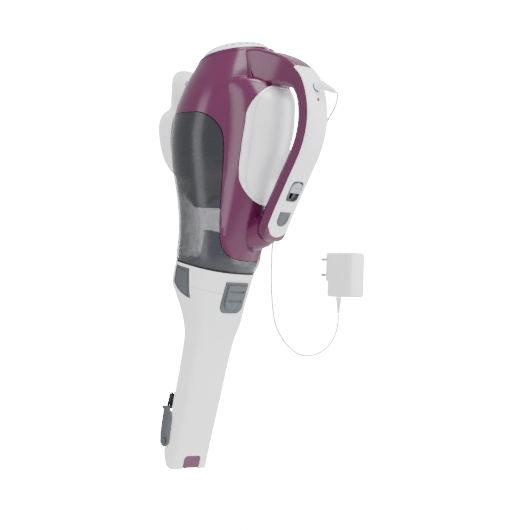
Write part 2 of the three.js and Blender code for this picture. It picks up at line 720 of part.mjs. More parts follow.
function makeBattery() {
  for (let k = 0; k < cellCount; k += 1) {
    const angle = ((k + 0.5) / cellCount) * Math.PI * 2;
    const at = new THREE.Vector3(Math.cos(angle) * cellCircle, cellCentre + Math.sin(angle) * cellCircle, cellBase);
    const profile = [[0, 0], [cellRadius, 0], [cellRadius, cellLength - 1.6], [2.6, cellLength - 1.6],
      [2.6, cellLength], [0, cellLength]];
    add(`battery_cell_${k + 1}`, turned(profile, at, up, 10), cellWrap);
  }
  let holder = tube(cellCircle + 4.4, motorRadius + 5, 6, motorAxis.clone().setZ(cellBase + cellLength / 2), up, 24);
  for (let k = 0; k < cellCount; k += 1) {
    const angle = ((k + 0.5) / cellCount) * Math.PI * 2;
    const at = new THREE.Vector3(Math.cos(angle) * cellCircle, cellCentre + Math.sin(angle) * cellCircle, cellBase);
    holder = holder.subtract(rod(cellRadius + gap, cellLength, at, up, 10));
  }
  add('battery_holder', holder, dark);
}

function makeBoard() {
  const frame = handleFrame(0.5);
  add('circuit_board', plate(roundedRectangle(9, -15, 15, 1), frame, -13.2, -11.6, 2), board);
}

// ---------------------------------------------------------------- filter
const filterCentre = bodyBack + wall + filterBack + filterRadius + filterFlange;

function makeFilter() {
  const at = new THREE.Vector3(0, filterCentre, 0);
  const flange = turned([[filterRadius - 4, 0], [filterRadius + filterFlange, 0], [filterRadius + filterFlange, 4],
    [filterRadius - 4, 4], [filterRadius - 4, 0]], at.clone().setZ(bowlTop - 6), up, 20);
  add('filter_frame', flange, white);
  const pleats = 20;
  const rings = [bowlTop - 6 - gap - filterLength, bowlTop - 6 - gap].map((z) => {
    const ring = [];
    for (let k = 0; k < pleats * 2; k += 1) {
      const r = k % 2 ? filterRadius : filterRadius - 3.5;
      const angle = (k / (pleats * 2)) * Math.PI * 2;
      ring.push(new THREE.Vector3(r * Math.cos(angle), filterCentre + r * Math.sin(angle), z));
    }
    return ring;
  });
  const bore = rod(filterRadius - 9, filterLength - 3, at.clone().setZ(rings[0][0].z + 3), up, 20);
  const pleated = skinAround(rings).subtract(bore.add(
    rod(filterRadius - 9, 12, at.clone().setZ(bowlTop - 16), up, 20)));
  add('pleated_filter', pleated, paper);
  const cupTop = rings[0][0].z - gap;
  const cup = turned([[0, -cupLength], [filterRadius - 7, -cupLength], [filterRadius - 1.5, -cupLength + 8],
    [filterRadius, 0], [filterRadius - 2, 0], [filterRadius - 3.6, -cupLength + 9],
    [filterRadius - 8, -cupLength + 2], [0, -cupLength + 2]], at.clone().setZ(cupTop), up, 20);
  add('pre_filter_cup', cup, dark);
}

// Like skin, for sections that are star-shaped round their own middle.
function skinAround(rings) {
  const count = rings[0].length;
  const middles = [rings[0], rings[rings.length - 1]].map((ring) => (
    ring.reduce((sum, p) => sum.add(p), new THREE.Vector3()).divideScalar(count)));
  const points = [...rings.flat(), ...middles];
  const index = [];
  for (let row = 0; row + 1 < rings.length; row += 1) {
    for (let k = 0; k < count; k += 1) {
      const a = row * count + k;
      const b = row * count + (k + 1) % count;
      index.push(a, b, a + count, b, b + count, a + count);
    }
  }
  const last = (rings.length - 1) * count;
  const low = rings.length * count;
  for (let k = 0; k < count; k += 1) {
    index.push(low, (k + 1) % count, k, low + 1, last + k, last + (k + 1) % count);
  }
  const geometry = new THREE.BufferGeometry().setFromPoints(points);
  geometry.setIndex(index);
  return solid(geometry);
}

// ---------------------------------------------------------------- bowl, seal, collar and duct
const seamCentre = between(seamHeight, 'centre');
const seamRise = between(seamHeight, 'rise');
const sealHeight = 1.8;
const ductRadius = 15;
const ductLength = 34;
const nozzleAxis = new THREE.Vector3(0, 0.2285, 1).normalize(); // up the nozzle
const ductFoot = new THREE.Vector3(0, seamCentre - 2, seamHeight + 1);

function planeBelow(height) {
  const low = -60;
  const high = 190;
  return across(polygon([
    [low, height + seamRise * (low - seamCentre)], [high, height + seamRise * (high - seamCentre)],
    [high, height - 120], [low, height - 120],
  ]), -100, 100);
}

function makeBowl() {
  const floor = seamHeight + sealHeight + gap;
  const outside = bodyOuter.subtract(shellRegion(slip)).subtract(planeBelow(floor));
  const inside = loft(levels(bowlTop + 8, seamHeight, 7), wall).subtract(shellRegion(slip + wall))
    .subtract(planeBelow(floor + wall));
  const mouth = rod(ductRadius + 2 + gap, 20, ductFoot.clone().addScaledVector(nozzleAxis, -8), nozzleAxis, 16);
  const top = loft(levels(bowlTop + 8, bowlTop - 20, 2), wall)
    .intersect(box(-90, 90, -60, filterCentre + filterRadius + filterFlange + filterRoom, bowlTop - 16, 60));
  const bowl = outside.subtract(inside).subtract(mouth).subtract(top);
  add('dust_bowl', bowl, smoke);
}

function makeSeal() {
  const outside = loft([seamHeight + 8, seamHeight + 4, seamHeight, seamHeight - 3], 0.5);
  const inside = loft([seamHeight + 8, seamHeight + 4, seamHeight, seamHeight - 3], wall + 3.5);
  const band = outside.subtract(inside)
    .subtract(planeBelow(seamHeight))
    .intersect(planeBelow(seamHeight + sealHeight));
  add('bowl_seal', band, dark);
}

const partingHeight = seamHeight - collarLength;
const nozzleRise = -0.24;
const partingCentre = between(partingHeight, 'centre');

function belowParting(shift) {
  const low = -60;
  const high = 190;
  const line = (y) => partingHeight + shift + nozzleRise * (y - partingCentre);
  return across(polygon([[low, line(low)], [high, line(high)], [high, -420], [low, -420]]), -100, 100);
}

const nozzleHeights = [seamHeight, -164, -176, -190, -207, -226, -250, -312, -381];
const latchHalf = 17.5;
const latchTop = -170;
const latchLow = -203;

function latchShape(grow) {
  const shape = new THREE.Shape();
  const half = latchHalf + grow;
  const low = latchLow - grow;
  shape.moveTo(half, latchTop + grow);
  shape.lineTo(half, low + 10);
  shape.quadraticCurveTo(half, low, half - 10, low);
  shape.lineTo(-half + 10, low);
  shape.quadraticCurveTo(-half, low, -half, low + 10);
  shape.lineTo(-half, latchTop + grow);
  return shape;
}

// Side clip in side view: a four-sided pad with its lower back corner cut round.
function clipShape(grow) {
  const shape = new THREE.Shape();
  shape.moveTo(31 - grow, -151 + grow);
  shape.lineTo(53 + grow, -156 + grow);
  shape.lineTo(51 + grow, -188 - grow);
  shape.quadraticCurveTo(34, -183 - grow, 27 - grow, -169);
  return shape;
}

function makeCollar() {
  const heights = [seamHeight + 4, ...levels(seamHeight, -186, 3)];
  const outside = loft(heights, 0);
  const inside = loft([seamHeight + 12, ...heights, -190], wall + 0.6);
  const deck = loft(levels(seamHeight + 6, seamHeight - 8, 2), wall)
    .intersect(planeBelow(seamHeight - gap))
    .subtract(planeBelow(seamHeight - gap - wall));
  let collar = outside.subtract(inside).add(deck)
    .intersect(planeBelow(seamHeight - gap))
    .subtract(belowParting(gap / 2));
  collar = collar.subtract(rod(ductRadius + 2 + gap, 60, ductFoot.clone().addScaledVector(nozzleAxis, -30),
    nozzleAxis, 16));
  collar = collar.subtract(outward(latchShape(gap), 60, 110));
  for (const side of [-1, 1]) {
    const pocket = across(clipShape(gap), 30, 60, 6).subtract(loft(heights, 1.9));
    collar = collar.subtract(side > 0 ? pocket : pocket.mirror([1, 0, 0]));
  }
  add('nozzle_collar', collar, white);
}

function makeDuct() {
  const foot = ductFoot.clone().addScaledVector(nozzleAxis, -12);
  let duct = tube(ductRadius + 2, ductRadius, ductLength + 12, foot, nozzleAxis, 16);
  duct = duct.add(tube(ductRadius + 5, ductRadius + 1, 1.8, ductFoot.clone().addScaledVector(nozzleAxis, 6.6),
    nozzleAxis, 16));
  add('inlet_duct', duct, smoke);
  const top = ductFoot.clone().addScaledVector(nozzleAxis, ductLength + gap);
  const flap = rod(ductRadius + 2.4, 1.6, top, nozzleAxis, 16);
  const ear = new THREE.Vector3(-7, 0, 0).add(top)
    .add(new THREE.Vector3(0, -nozzleAxis.z, nozzleAxis.y).multiplyScalar(ductRadius + 3)).addScaledVector(nozzleAxis, 0.8);
  add('inlet_flap', flap.add(rod(1.5, 14, ear, new THREE.Vector3(1, 0, 0), 12)), dark);
}

// ---------------------------------------------------------------- nozzle and its pieces
function mouthCut() {
  return across(polygon([[-20, nozzleTip + 22], [7.2, nozzleTip + 22], [12.5, nozzleTip + 4.5],
    [17, nozzleTip + 1.5], [28, nozzleTip], [60, nozzleTip - 1], [60, -420], [-20, -420]]), -60, 60);
}

const padHalf = 13;
const padTop = nozzleTip + 15;

function padShape(grow) {
  const shape = new THREE.Shape();
  const half = padHalf + grow;
  const top = padTop + grow;
  shape.moveTo(half, nozzleTip - 12);
  shape.lineTo(half, top - 4);
  shape.quadraticCurveTo(half, top, half - 4, top);
  shape.lineTo(-half + 4, top);
  shape.quadraticCurveTo(-half, top, -half, top - 4);
  shape.lineTo(-half, nozzleTip - 12);
  return shape;
}

function makeNozzle() {
  const outside = loft(nozzleHeights, 0);
  const inside = loft([...nozzleHeights, -392], nozzleWall);
  let nozzle = outside.subtract(inside).intersect(belowParting(-gap / 2)).subtract(mouthCut());
  nozzle = nozzle.subtract(outward(padShape(gap), 15, 60));
  nozzle = nozzle.subtract(outward(latchShape(gap), 58, 110));
  for (const side of [-1, 1]) {
    const pocket = across(clipShape(gap), 26, 60, 6).subtract(loft(nozzleHeights, 1.2));
    nozzle = nozzle.subtract(side > 0 ? pocket : pocket.mirror([1, 0, 0]));
    const pivot = rod(pinRadius + 0.1, 14, brushPivot.clone().setX(side * 22), new THREE.Vector3(side, 0, 0), 16);
    nozzle = nozzle.subtract(pivot);
  }
  add('nozzle_shell', nozzle, white);
}

function makeClips() {
  for (const side of [-1, 1]) {
    const pad = across(clipShape(0), 26, 60, 6)
      .intersect(loft(nozzleHeights, -0.5))
      .subtract(loft(nozzleHeights, 0.9));
    add(side > 0 ? 'near_clip_pad' : 'far_clip_pad', side > 0 ? pad : pad.mirror([1, 0, 0]), grey);
  }
}

function makeLatch() {
  const outside = loft(nozzleHeights, -2.4);
  const block = outside.subtract(loft(nozzleHeights, 2.4)).intersect(outward(latchShape(0), 58, 110));
  let latch = block;
  for (const z of [-180, -191]) {
    const groove = loft(nozzleHeights, -2.8).subtract(loft(nozzleHeights, -1.6));
    latch = latch.subtract(groove.intersect(box(-12, 12, 50, 110, z - 1.2, z + 1.2)));
  }
  add('nozzle_latch_button', latch, grey);
}

function makeCrevice() {
  const line = (z) => between(z, 'centre');
  const halfWidth = 0.93 * nozzleHalfWidth - nozzleWall - 1.2;
  const halfDepth = 0.88 * nozzleHalfDepth - nozzleWall - 0.9;
  const ring = (z, inset) => {
    const centre = line(-345) + 0.2285 * (z + 345);
    const shape = roundedRectangle(halfWidth - inset, -halfDepth + inset, halfDepth - inset, 3);
    return shape.getPoints(3).slice(0, -1).map((p) => new THREE.Vector3(p.x, centre + p.y, z));
  };
  const top = nozzleTip + creviceLength;
  let tubeShape = skin([ring(-390, 0), ring(top, 0)]).subtract(skin([ring(-395, 1.8), ring(top + 5, 1.8)]));
  const padHeights = [-340, -354, -368, -382];
  const pad = loft(padHeights, 0).intersect(outward(padShape(0), 15, 60))
    .subtract(loft(padHeights, nozzleWall + 2.2));
  tubeShape = tubeShape.add(pad);
  tubeShape = tubeShape.subtract(mouthCut().translate([0, 0, 0.8]));
  add('crevice_tube', tubeShape, purple);
}

function makeBrush() {
  const sideX = 0.945 * nozzleHalfWidth + slip;
  const arm = new THREE.Shape();
  arm.absarc(brushPivot.y, brushPivot.z, 6.2, Math.PI, Math.PI * 2);
  arm.lineTo(brushPivot.y + 9.5, -322);
  arm.quadraticCurveTo(brushPivot.y + 10, -312, brushPivot.y + 5.5, -307);
  arm.lineTo(brushPivot.y - 1.5, -307);
  arm.lineTo(brushPivot.y - 6.2, -336);
  let frame = across(arm, sideX + 0.3, sideX + 0.3 + armThickness, 6)
    .add(across(arm, -sideX - 0.3 - armThickness, -sideX - 0.3, 6));
  const bridge = polygon([[7.4, -309.4], [13.9, -309.4], [13.5, -306], [7.8, -306]]);
  frame = frame.add(across(bridge, -sideX - 0.3 - armThickness, sideX + 0.3 + armThickness));
  frame = frame.subtract(loft(nozzleHeights, -0.6));
  for (const side of [-1, 1]) {
    frame = frame.subtract(rod(pinRadius + 0.1, 20, brushPivot.clone().setX(side * 22),
      new THREE.Vector3(side, 0, 0), 16));
  }
  add('brush_frame', frame, grey);
  const tufts = polygon([[8, -306 + gap], [13.3, -306 + gap], [18.2, -290], [14.2, -290]]);
  add('brush_bristles', across(tufts, -sideX + 2, sideX - 2), dark);
  for (const side of [-1, 1]) {
    const inner = sideX - nozzleWall - 0.2;
    const pin = turned([[0, 0], [pinRadius, 0], [pinRadius, armThickness + nozzleWall + 1.6],
      [pinRadius + 1.4, armThickness + nozzleWall + 1.6], [pinRadius + 1, armThickness + nozzleWall + 2.8],
      [0, armThickness + nozzleWall + 2.8]],
    brushPivot.clone().setX(side * inner), new THREE.Vector3(side, 0, 0), 16);
    add(side > 0 ? 'near_brush_pin' : 'far_brush_pin', pin, grey);
  }
}

// ---------------------------------------------------------------- charger
const adaptorX = -261.5;
const adaptorZ = -151;
const adaptorBack = 10;
const adaptorDepth = 38;
const adaptorHalfWidth = 13;
const adaptorHalfHeight = 27;
const reliefLength = 20;
const reliefOut = 9; // from the adaptor's back to the middle of the strain relief
const armLength = 20; // side arm of the plug

function makeCharger() {
  const frame = handleFrame(jackShare);
  const axis = new THREE.Vector3(0, 0, 1).transformDirection(frame);
  const at = new THREE.Vector3(0, 0, -9).applyMatrix4(frame);
  let plug = turned([[0, 0], [plugRadius, 0], [plugRadius, 9.8], [4.3, 9.8], [4.3, 19], [3, 21], [0, 21]],
    at, axis, 16);
  const elbow = at.clone().addScaledVector(axis, 17);
  const arm = new THREE.Vector3(-0.93, 0.15, -0.28).normalize();
  plug = plug.add(turned([[0, 0], [4, 0], [4, 8], [3.2, 12], [2.4, armLength], [0, armLength]], elbow, arm, 12));
  add('charge_plug', plug, white);

  const start = elbow.clone().addScaledVector(arm, armLength + gap);
  const reliefTop = new THREE.Vector3(adaptorX, adaptorBack + reliefOut, adaptorZ - adaptorHalfHeight);
  const reliefEnd = reliefTop.clone().addScaledVector(down, reliefLength + gap);
  const route = new THREE.CatmullRomCurve3([
    start,
    start.clone().addScaledVector(arm, 3),
    new THREE.Vector3(-23.5, 201, 26),
    new THREE.Vector3(-24, 197, 17),
    new THREE.Vector3(-25, 187, 4),
    new THREE.Vector3(-25, 178, -18),
    new THREE.Vector3(-25, 166, -45),
    new THREE.Vector3(-26, 146, -78),
    new THREE.Vector3(-28.5, 124, -104),
    new THREE.Vector3(-32, 109, -126),
    new THREE.Vector3(-34, 106, -146),
    new THREE.Vector3(-36, 105, -175),
    new THREE.Vector3(-51, 98, -210),
    new THREE.Vector3(-76, 90, -231),
    new THREE.Vector3(-120, 77, -247),
    new THREE.Vector3(-168, 62, -247),
    new THREE.Vector3(-212, 46, -236),
    new THREE.Vector3(-247, 28, -220),
    reliefEnd.clone().addScaledVector(down, 8),
    reliefEnd,
  ], false, 'centripetal');
  const side = new THREE.Shape();
  side.absarc(0, 0, cordDiameter / 2, 0, Math.PI * 2);
  const geometry = new THREE.ExtrudeGeometry(
    new THREE.Shape(side.getPoints(2).slice(0, -1)), { steps: 64, bevelEnabled: false, extrudePath: route });
  add('charger_cord', solid(geometry), white);

  const blockZ = [adaptorZ - adaptorHalfHeight, adaptorZ + adaptorHalfHeight];
  const block = roundedRectangle(adaptorHalfWidth, blockZ[0], blockZ[1], 4);
  const body = new THREE.ExtrudeGeometry(block, {
    depth: adaptorDepth - 4, bevelEnabled: true, bevelThickness: 2, bevelSize: 2, bevelOffset: -2,
    bevelSegments: 1, curveSegments: 3,
  });
  body.applyMatrix4(new THREE.Matrix4().makeBasis(new THREE.Vector3(-1, 0, 0), new THREE.Vector3(0, 0, 1),
    new THREE.Vector3(0, 1, 0)).setPosition(adaptorX, adaptorBack + 2, 0));
  const pinBlock = box(adaptorX - 10, adaptorX + 10, adaptorBack - 4.5, adaptorBack + 3, adaptorZ - 8,
    adaptorZ + adaptorHalfHeight);
  let adaptor = solid(body).add(pinBlock);
  const pinPlaces = [['upper', adaptorZ + 19], ['lower', adaptorZ]];
  for (const [, z] of pinPlaces) {
    adaptor = adaptor.subtract(rod(2 + gap, 8, new THREE.Vector3(adaptorX, adaptorBack - 6, z), out, 12));
  }
  add('charger_adaptor', adaptor, white);
  for (const [name, z] of pinPlaces) {
    add(`adaptor_pin_${name}`, turned([[0, 0], [1.4, 0], [2, 1], [2, 21], [0, 21]],
      new THREE.Vector3(adaptorX, adaptorBack + 1.7 - 21, z), out, 12), steel);
  }
  const relief = turned([[0, gap], [3.6, gap], [3.4, 5], [1.9, reliefLength], [0, reliefLength]],
    reliefTop, down, 16);
  add('cord_strain_relief', relief, white);
}

makeBracket();
makeShells();
makeRearRing();
makePanel();
makeVent();
makeGripCover();
makeSwitch();
makeButton();
makeLedAndJack();
makeMotor();
makeBulkhead();
makeBattery();
makeBoard();
makeFilter();
makeBowl();
makeSeal();
makeCollar();
makeDuct();
makeNozzle();
makeClips();
makeLatch();
makeCrevice();
makeBrush();
makeCharger();

vacuum.rotation.z = Math.PI;

export default vacuum;
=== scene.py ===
# %% [markdown]
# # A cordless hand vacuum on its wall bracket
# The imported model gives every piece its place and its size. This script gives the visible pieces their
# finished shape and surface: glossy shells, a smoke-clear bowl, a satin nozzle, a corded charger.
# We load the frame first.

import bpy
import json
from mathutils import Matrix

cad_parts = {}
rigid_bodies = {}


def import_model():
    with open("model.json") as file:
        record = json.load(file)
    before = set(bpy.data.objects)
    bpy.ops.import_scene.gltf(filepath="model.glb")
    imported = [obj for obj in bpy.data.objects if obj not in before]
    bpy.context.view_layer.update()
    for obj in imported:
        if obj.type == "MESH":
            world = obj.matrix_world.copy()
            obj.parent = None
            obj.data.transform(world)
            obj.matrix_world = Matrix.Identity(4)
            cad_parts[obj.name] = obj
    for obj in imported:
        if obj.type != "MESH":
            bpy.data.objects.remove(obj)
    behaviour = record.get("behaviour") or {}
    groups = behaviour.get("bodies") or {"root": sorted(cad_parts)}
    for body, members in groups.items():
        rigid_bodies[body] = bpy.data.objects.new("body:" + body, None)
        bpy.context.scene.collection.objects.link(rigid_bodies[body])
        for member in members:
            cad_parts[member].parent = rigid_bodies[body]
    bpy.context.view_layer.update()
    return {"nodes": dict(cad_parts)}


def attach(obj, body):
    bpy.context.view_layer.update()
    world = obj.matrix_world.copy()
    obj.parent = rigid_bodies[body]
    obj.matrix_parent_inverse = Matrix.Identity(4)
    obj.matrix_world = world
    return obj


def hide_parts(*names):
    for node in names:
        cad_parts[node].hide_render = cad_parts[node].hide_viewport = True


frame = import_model()

# %%
import json
import math

import bmesh
import bpy
import numpy as np
from mathutils import Matrix, Vector

# %% [markdown]
# ## The camera
# The vacuum hangs on a wall and is seen from its front left, level with its middle and from a long way off,
# so a long lens is right: it keeps the nozzle from looking shorter than it is. The camera's own axes are
# worked out from two angles and a small roll, and put into one matrix.

# %% The camera
def camera_matrix(azimuth, elevation, roll, target, distance):
    a, e, r = (math.radians(v) for v in (azimuth, elevation, roll))
    back = Vector((math.sin(a) * math.cos(e), -math.cos(a) * math.cos(e), math.sin(e)))
    right = Vector((math.cos(a), math.sin(a), 0))
    above = back.cross(right)
    turned_right = right * math.cos(r) + above * math.sin(r)
    turned_up = above * math.cos(r) - right * math.sin(r)
    place = Vector(target) + back * distance
    return Matrix((
        (turned_right.x, turned_up.x, back.x, place.x),
        (turned_right.y, turned_up.y, back.y, place.y),
        (turned_right.z, turned_up.z, back.z, place.z),
        (0, 0, 0, 1)))

camera_data = bpy.data.cameras.new("camera")
camera_data.sensor_width = 36
camera_data.lens = 126.4
camera = bpy.data.objects.new("camera", camera_data)
camera.matrix_world = camera_matrix(-49, -2, 1.5, (0, -0.126, -0.1505), 2.0)
bpy.context.collection.objects.link(camera)
bpy.context.scene.camera = camera
print("camera", tuple(round(v, 3) for v in camera.matrix_world.translation))

# %% [markdown]
# ## Two rulers
# The sizes below are in millimetres, with x across, y out from the wall and z up, because that is how a maker
# measures this object on its wall. `to_frame` turns such a point half round into the frame's metres.
# Smooth lines are drawn through a few chosen points with a centripetal Catmull-Rom curve, which never loops.

# %% Points and smooth lines
def to_frame(point):
    return Vector((-point[0], -point[1], point[2])) / 1000

def smooth_line(points, steps=40):
    points = [np.array(p, float) for p in points]
    ends = [2 * points[0] - points[1], *points, 2 * points[-1] - points[-2]]
    line = []
    for a, b, c, d in zip(ends, ends[1:], ends[2:], ends[3:]):
        t0, t1, t2 = (max(np.linalg.norm(q - p), 1e-6) ** 0.5 for p, q in ((a, b), (b, c), (c, d)))
        start = (b - a) / t0 - (c - a) / (t0 + t1) + (c - b) / t1
        end = (c - b) / t1 - (d - b) / (t1 + t2) + (d - c) / t2
        start, end = start * t1, end * t1
        for s in np.linspace(0, 1, steps, endpoint=False):
            line.append(b * (2 * s**3 - 3 * s**2 + 1) + start * (s**3 - 2 * s**2 + s)
                        + c * (3 * s**2 - 2 * s**3) + end * (s**3 - s**2))
    return np.array([*line, points[-1]])

# %% [markdown]
# ## The handle's line
# The charging jack, the lamp, the switch and the button all sit on one line that runs over the handle.
# A share of that line's length says where each one is, and the frame there says which way is out.

# %% The handle's line
HANDLE_LINE = smooth_line([(0, 98, 74), (0, 118, 81.5), (0, 143.5, 76), (0, 167, 65.5), (0, 184.5, 50),
                           (0, 193.5, 28), (0, 196, 2), (0, 190, -26), (0, 169, -66), (0, 152.5, -96),
                           (0, 137.5, -127)])
ALONG_HANDLE = np.concatenate([[0], np.cumsum(np.linalg.norm(np.diff(HANDLE_LINE, axis=0), axis=1))])

def handle_point(share):
    s = share * ALONG_HANDLE[-1]
    return np.array([np.interp(s, ALONG_HANDLE, HANDLE_LINE[:, k]) for k in range(3)])

def handle_frame(share):
    """Rows: across, back along the line, out, and the place on the line."""
    along = handle_point(min(share + 0.004, 1)) - handle_point(max(share - 0.004, 0))
    along /= np.linalg.norm(along)
    return np.array([[-1, 0, 0], -along, [0, -along[2], along[1]], handle_point(share)])

def on_handle(share, u, v, w):
    rows = handle_frame(share)
    return rows[3] + u * rows[0] + v * rows[1] + w * rows[2]

JACK_SHARE = 0.386
LAMP_SHARE = 0.432
TRACK_SHARE = 0.79
BUTTON_SHARE = 0.904
print("handle line", round(ALONG_HANDLE[-1], 1), "mm")

# %% [markdown]
# ## The cord
# A thin charger lead of 2.4 mm leaves the plug's side arm, drops behind the chin, sags in one loop and rises
# into the adaptor's strain relief. It is a curve with a round bevel: a real cord has one thickness all along,
# and a curve keeps it. Its length is what the line measures.

# %% The cord's route
CORD_DIAMETER = 2.4
ARM_WAY = np.array([-0.93, 0.15, -0.28]) / np.linalg.norm([-0.93, 0.15, -0.28])
PLUG_ELBOW = on_handle(JACK_SHARE, 0, 0, -9 + 17)
ARM_LENGTH = 20
cord_start = PLUG_ELBOW + ARM_WAY * (ARM_LENGTH + 0.3)
RELIEF_TOP = np.array([-261.5, 19, -178])
cord_end = RELIEF_TOP - np.array([0, 0, 20.3])
route = smooth_line([
    cord_start, cord_start + ARM_WAY * 3, (-23.5, 201, 26), (-24, 197, 17), (-25, 187, 4), (-25, 178, -18),
    (-25, 166, -45),
    (-26, 146, -78), (-28.5, 124, -104), (-32, 109, -126), (-34, 106, -146), (-36, 105, -175),
    (-51, 98, -210), (-76, 90, -231), (-120, 77, -247), (-168, 62, -247), (-212, 46, -236), (-247, 28, -220),
    cord_end - np.array([0, 0, 8]), cord_end], steps=8)

def round_curve(name, points, radius, body):
    data = bpy.data.curves.new(name, "CURVE")
    data.dimensions = "3D"
    data.bevel_depth = radius / 1000
    data.bevel_resolution = 4
    data.use_fill_caps = True
    spline = data.splines.new("POLY")
    spline.points.add(len(points) - 1)
    for item, point in zip(spline.points, points):
        item.co = (*to_frame(point), 1)
    piece = bpy.data.objects.new(name, data)
    bpy.context.collection.objects.link(piece)
    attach(piece, body)
    return piece

lead = round_curve("charger_lead", route, CORD_DIAMETER / 2, "charger")
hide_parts("charger_cord")

# %% [markdown]
# ## Making solids
# Most of these pieces are moulded shells: a skin with a wall, cut by other shapes. So the tools are few:
# a solid from matching rings of points, a solid drawn flat and pulled straight, a turned solid, and three
# ways to combine them. The boolean modifier with its manifold solver keeps every result closed.

# %% Solids from points
def keep_closed(mesh):
    work = bmesh.new()
    work.from_mesh(mesh)
    bmesh.ops.remove_doubles(work, verts=work.verts, dist=2e-6)
    if work.calc_volume(signed=True) < 0:
        bmesh.ops.reverse_faces(work, faces=work.faces)
    work.to_mesh(mesh)
    work.free()

def solid(points, faces, name="solid"):
    mesh = bpy.data.meshes.new(name)
    mesh.from_pydata([to_frame(p) for p in points], [], faces)
    keep_closed(mesh)
    piece = bpy.data.objects.new(name, mesh)
    bpy.context.collection.objects.link(piece)
    return piece

def skin(rings):
    count = len(rings[0])
    faces = []
    for row in range(len(rings) - 1):
        for k in range(count):
            a, b = row * count + k, row * count + (k + 1) % count
            faces.append((a, b, b + count, a + count))
    last = (len(rings) - 1) * count
    faces.append(tuple(reversed(range(count))))
    faces.append(tuple(range(last, last + count)))
    return solid([p for ring in rings for p in ring], faces)

def pulled(outline, place, low, high, edge=0.0):
    """outline: (u, v) pairs. place(u, v, w) gives the point. edge takes the corners off both ends."""
    outline = np.array(outline, float)
    if edge <= 0:
        return skin([[place(u, v, w) for u, v in outline] for w in (low, high)])
    middle = outline.mean(axis=0)
    size = np.abs(outline - middle).max(axis=0)
    rings = []
    for angle in (0, 30, 60, 90):
        inset = edge * (1 - math.sin(math.radians(angle)))
        rise = edge * (1 - math.cos(math.radians(angle)))
        shrunk = middle + (outline - middle) * (1 - inset / size)
        rings.append([place(u, v, low + rise) for u, v in shrunk])
    for angle in (90, 60, 30, 0):
        inset = edge * (1 - math.sin(math.radians(angle)))
        rise = edge * (1 - math.cos(math.radians(angle)))
        shrunk = middle + (outline - middle) * (1 - inset / size)
        rings.append([place(u, v, high - rise) for u, v in shrunk])
    return skin(rings)

def box(x0, x1, y0, y1, z0, z1):
    return skin([[(x0, y0, z), (x1, y0, z), (x1, y1, z), (x0, y1, z)] for z in (z0, z1)])

def side_view(x, y, z):
    return (z, x, y)

def front_view(x, z, y):
    return (x, y, z)

# %% Turned solids
def turned(profile, at, way, sides=40):
    way = Vector(way).normalized()
    across = way.orthogonal().normalized()
    other = way.cross(across)
    rings = []
    for radius, height in profile:
        radius = max(radius, 0.02)
        rings.append([Vector(at) + way * height + (across * math.cos(a) + other * math.sin(a)) * radius
                      for a in np.linspace(0, 2 * math.pi, sides, endpoint=False)])
    return skin(rings)

def tube(outer, inner, length, at, way, sides=40):
    body = turned([(outer, 0), (outer, length)], at, way, sides)
    start = Vector(at) - Vector(way).normalized()
    return cut(body, turned([(inner, 0), (inner, length + 2)], start, way, sides))

# %% Combining solids
def combine(piece, others, operation):
    for other in others:
        step = piece.modifiers.new("step", "BOOLEAN")
        step.operation = operation
        step.solver = "MANIFOLD"
        step.object = other
        view = bpy.context.evaluated_depsgraph_get()
        result = bpy.data.meshes.new_from_object(piece.evaluated_get(view))
        piece.modifiers.clear()
        piece.data = result
        if not other.name.startswith("tool_"):
            bpy.data.objects.remove(other)
    return piece

def cut(piece, *others):
    return combine(piece, others, "DIFFERENCE")

def join(piece, *others):
    return combine(piece, others, "UNION")

def common(piece, *others):
    return combine(piece, others, "INTERSECT")

def copy(piece):
    twin = piece.copy()
    twin.data = piece.data.copy()
    twin.name = "twin"
    bpy.context.collection.objects.link(twin)
    return twin

# %% [markdown]
# ## Finishes
# Every finish starts from the same recipe: a colour that varies a little, a roughness that varies a little,
# and a fine bump of the right size. The bump is fed through a bevel so that moulded edges catch the light
# as they do on real plastic, where no edge is truly sharp. Values that never vary sit on the shader itself.

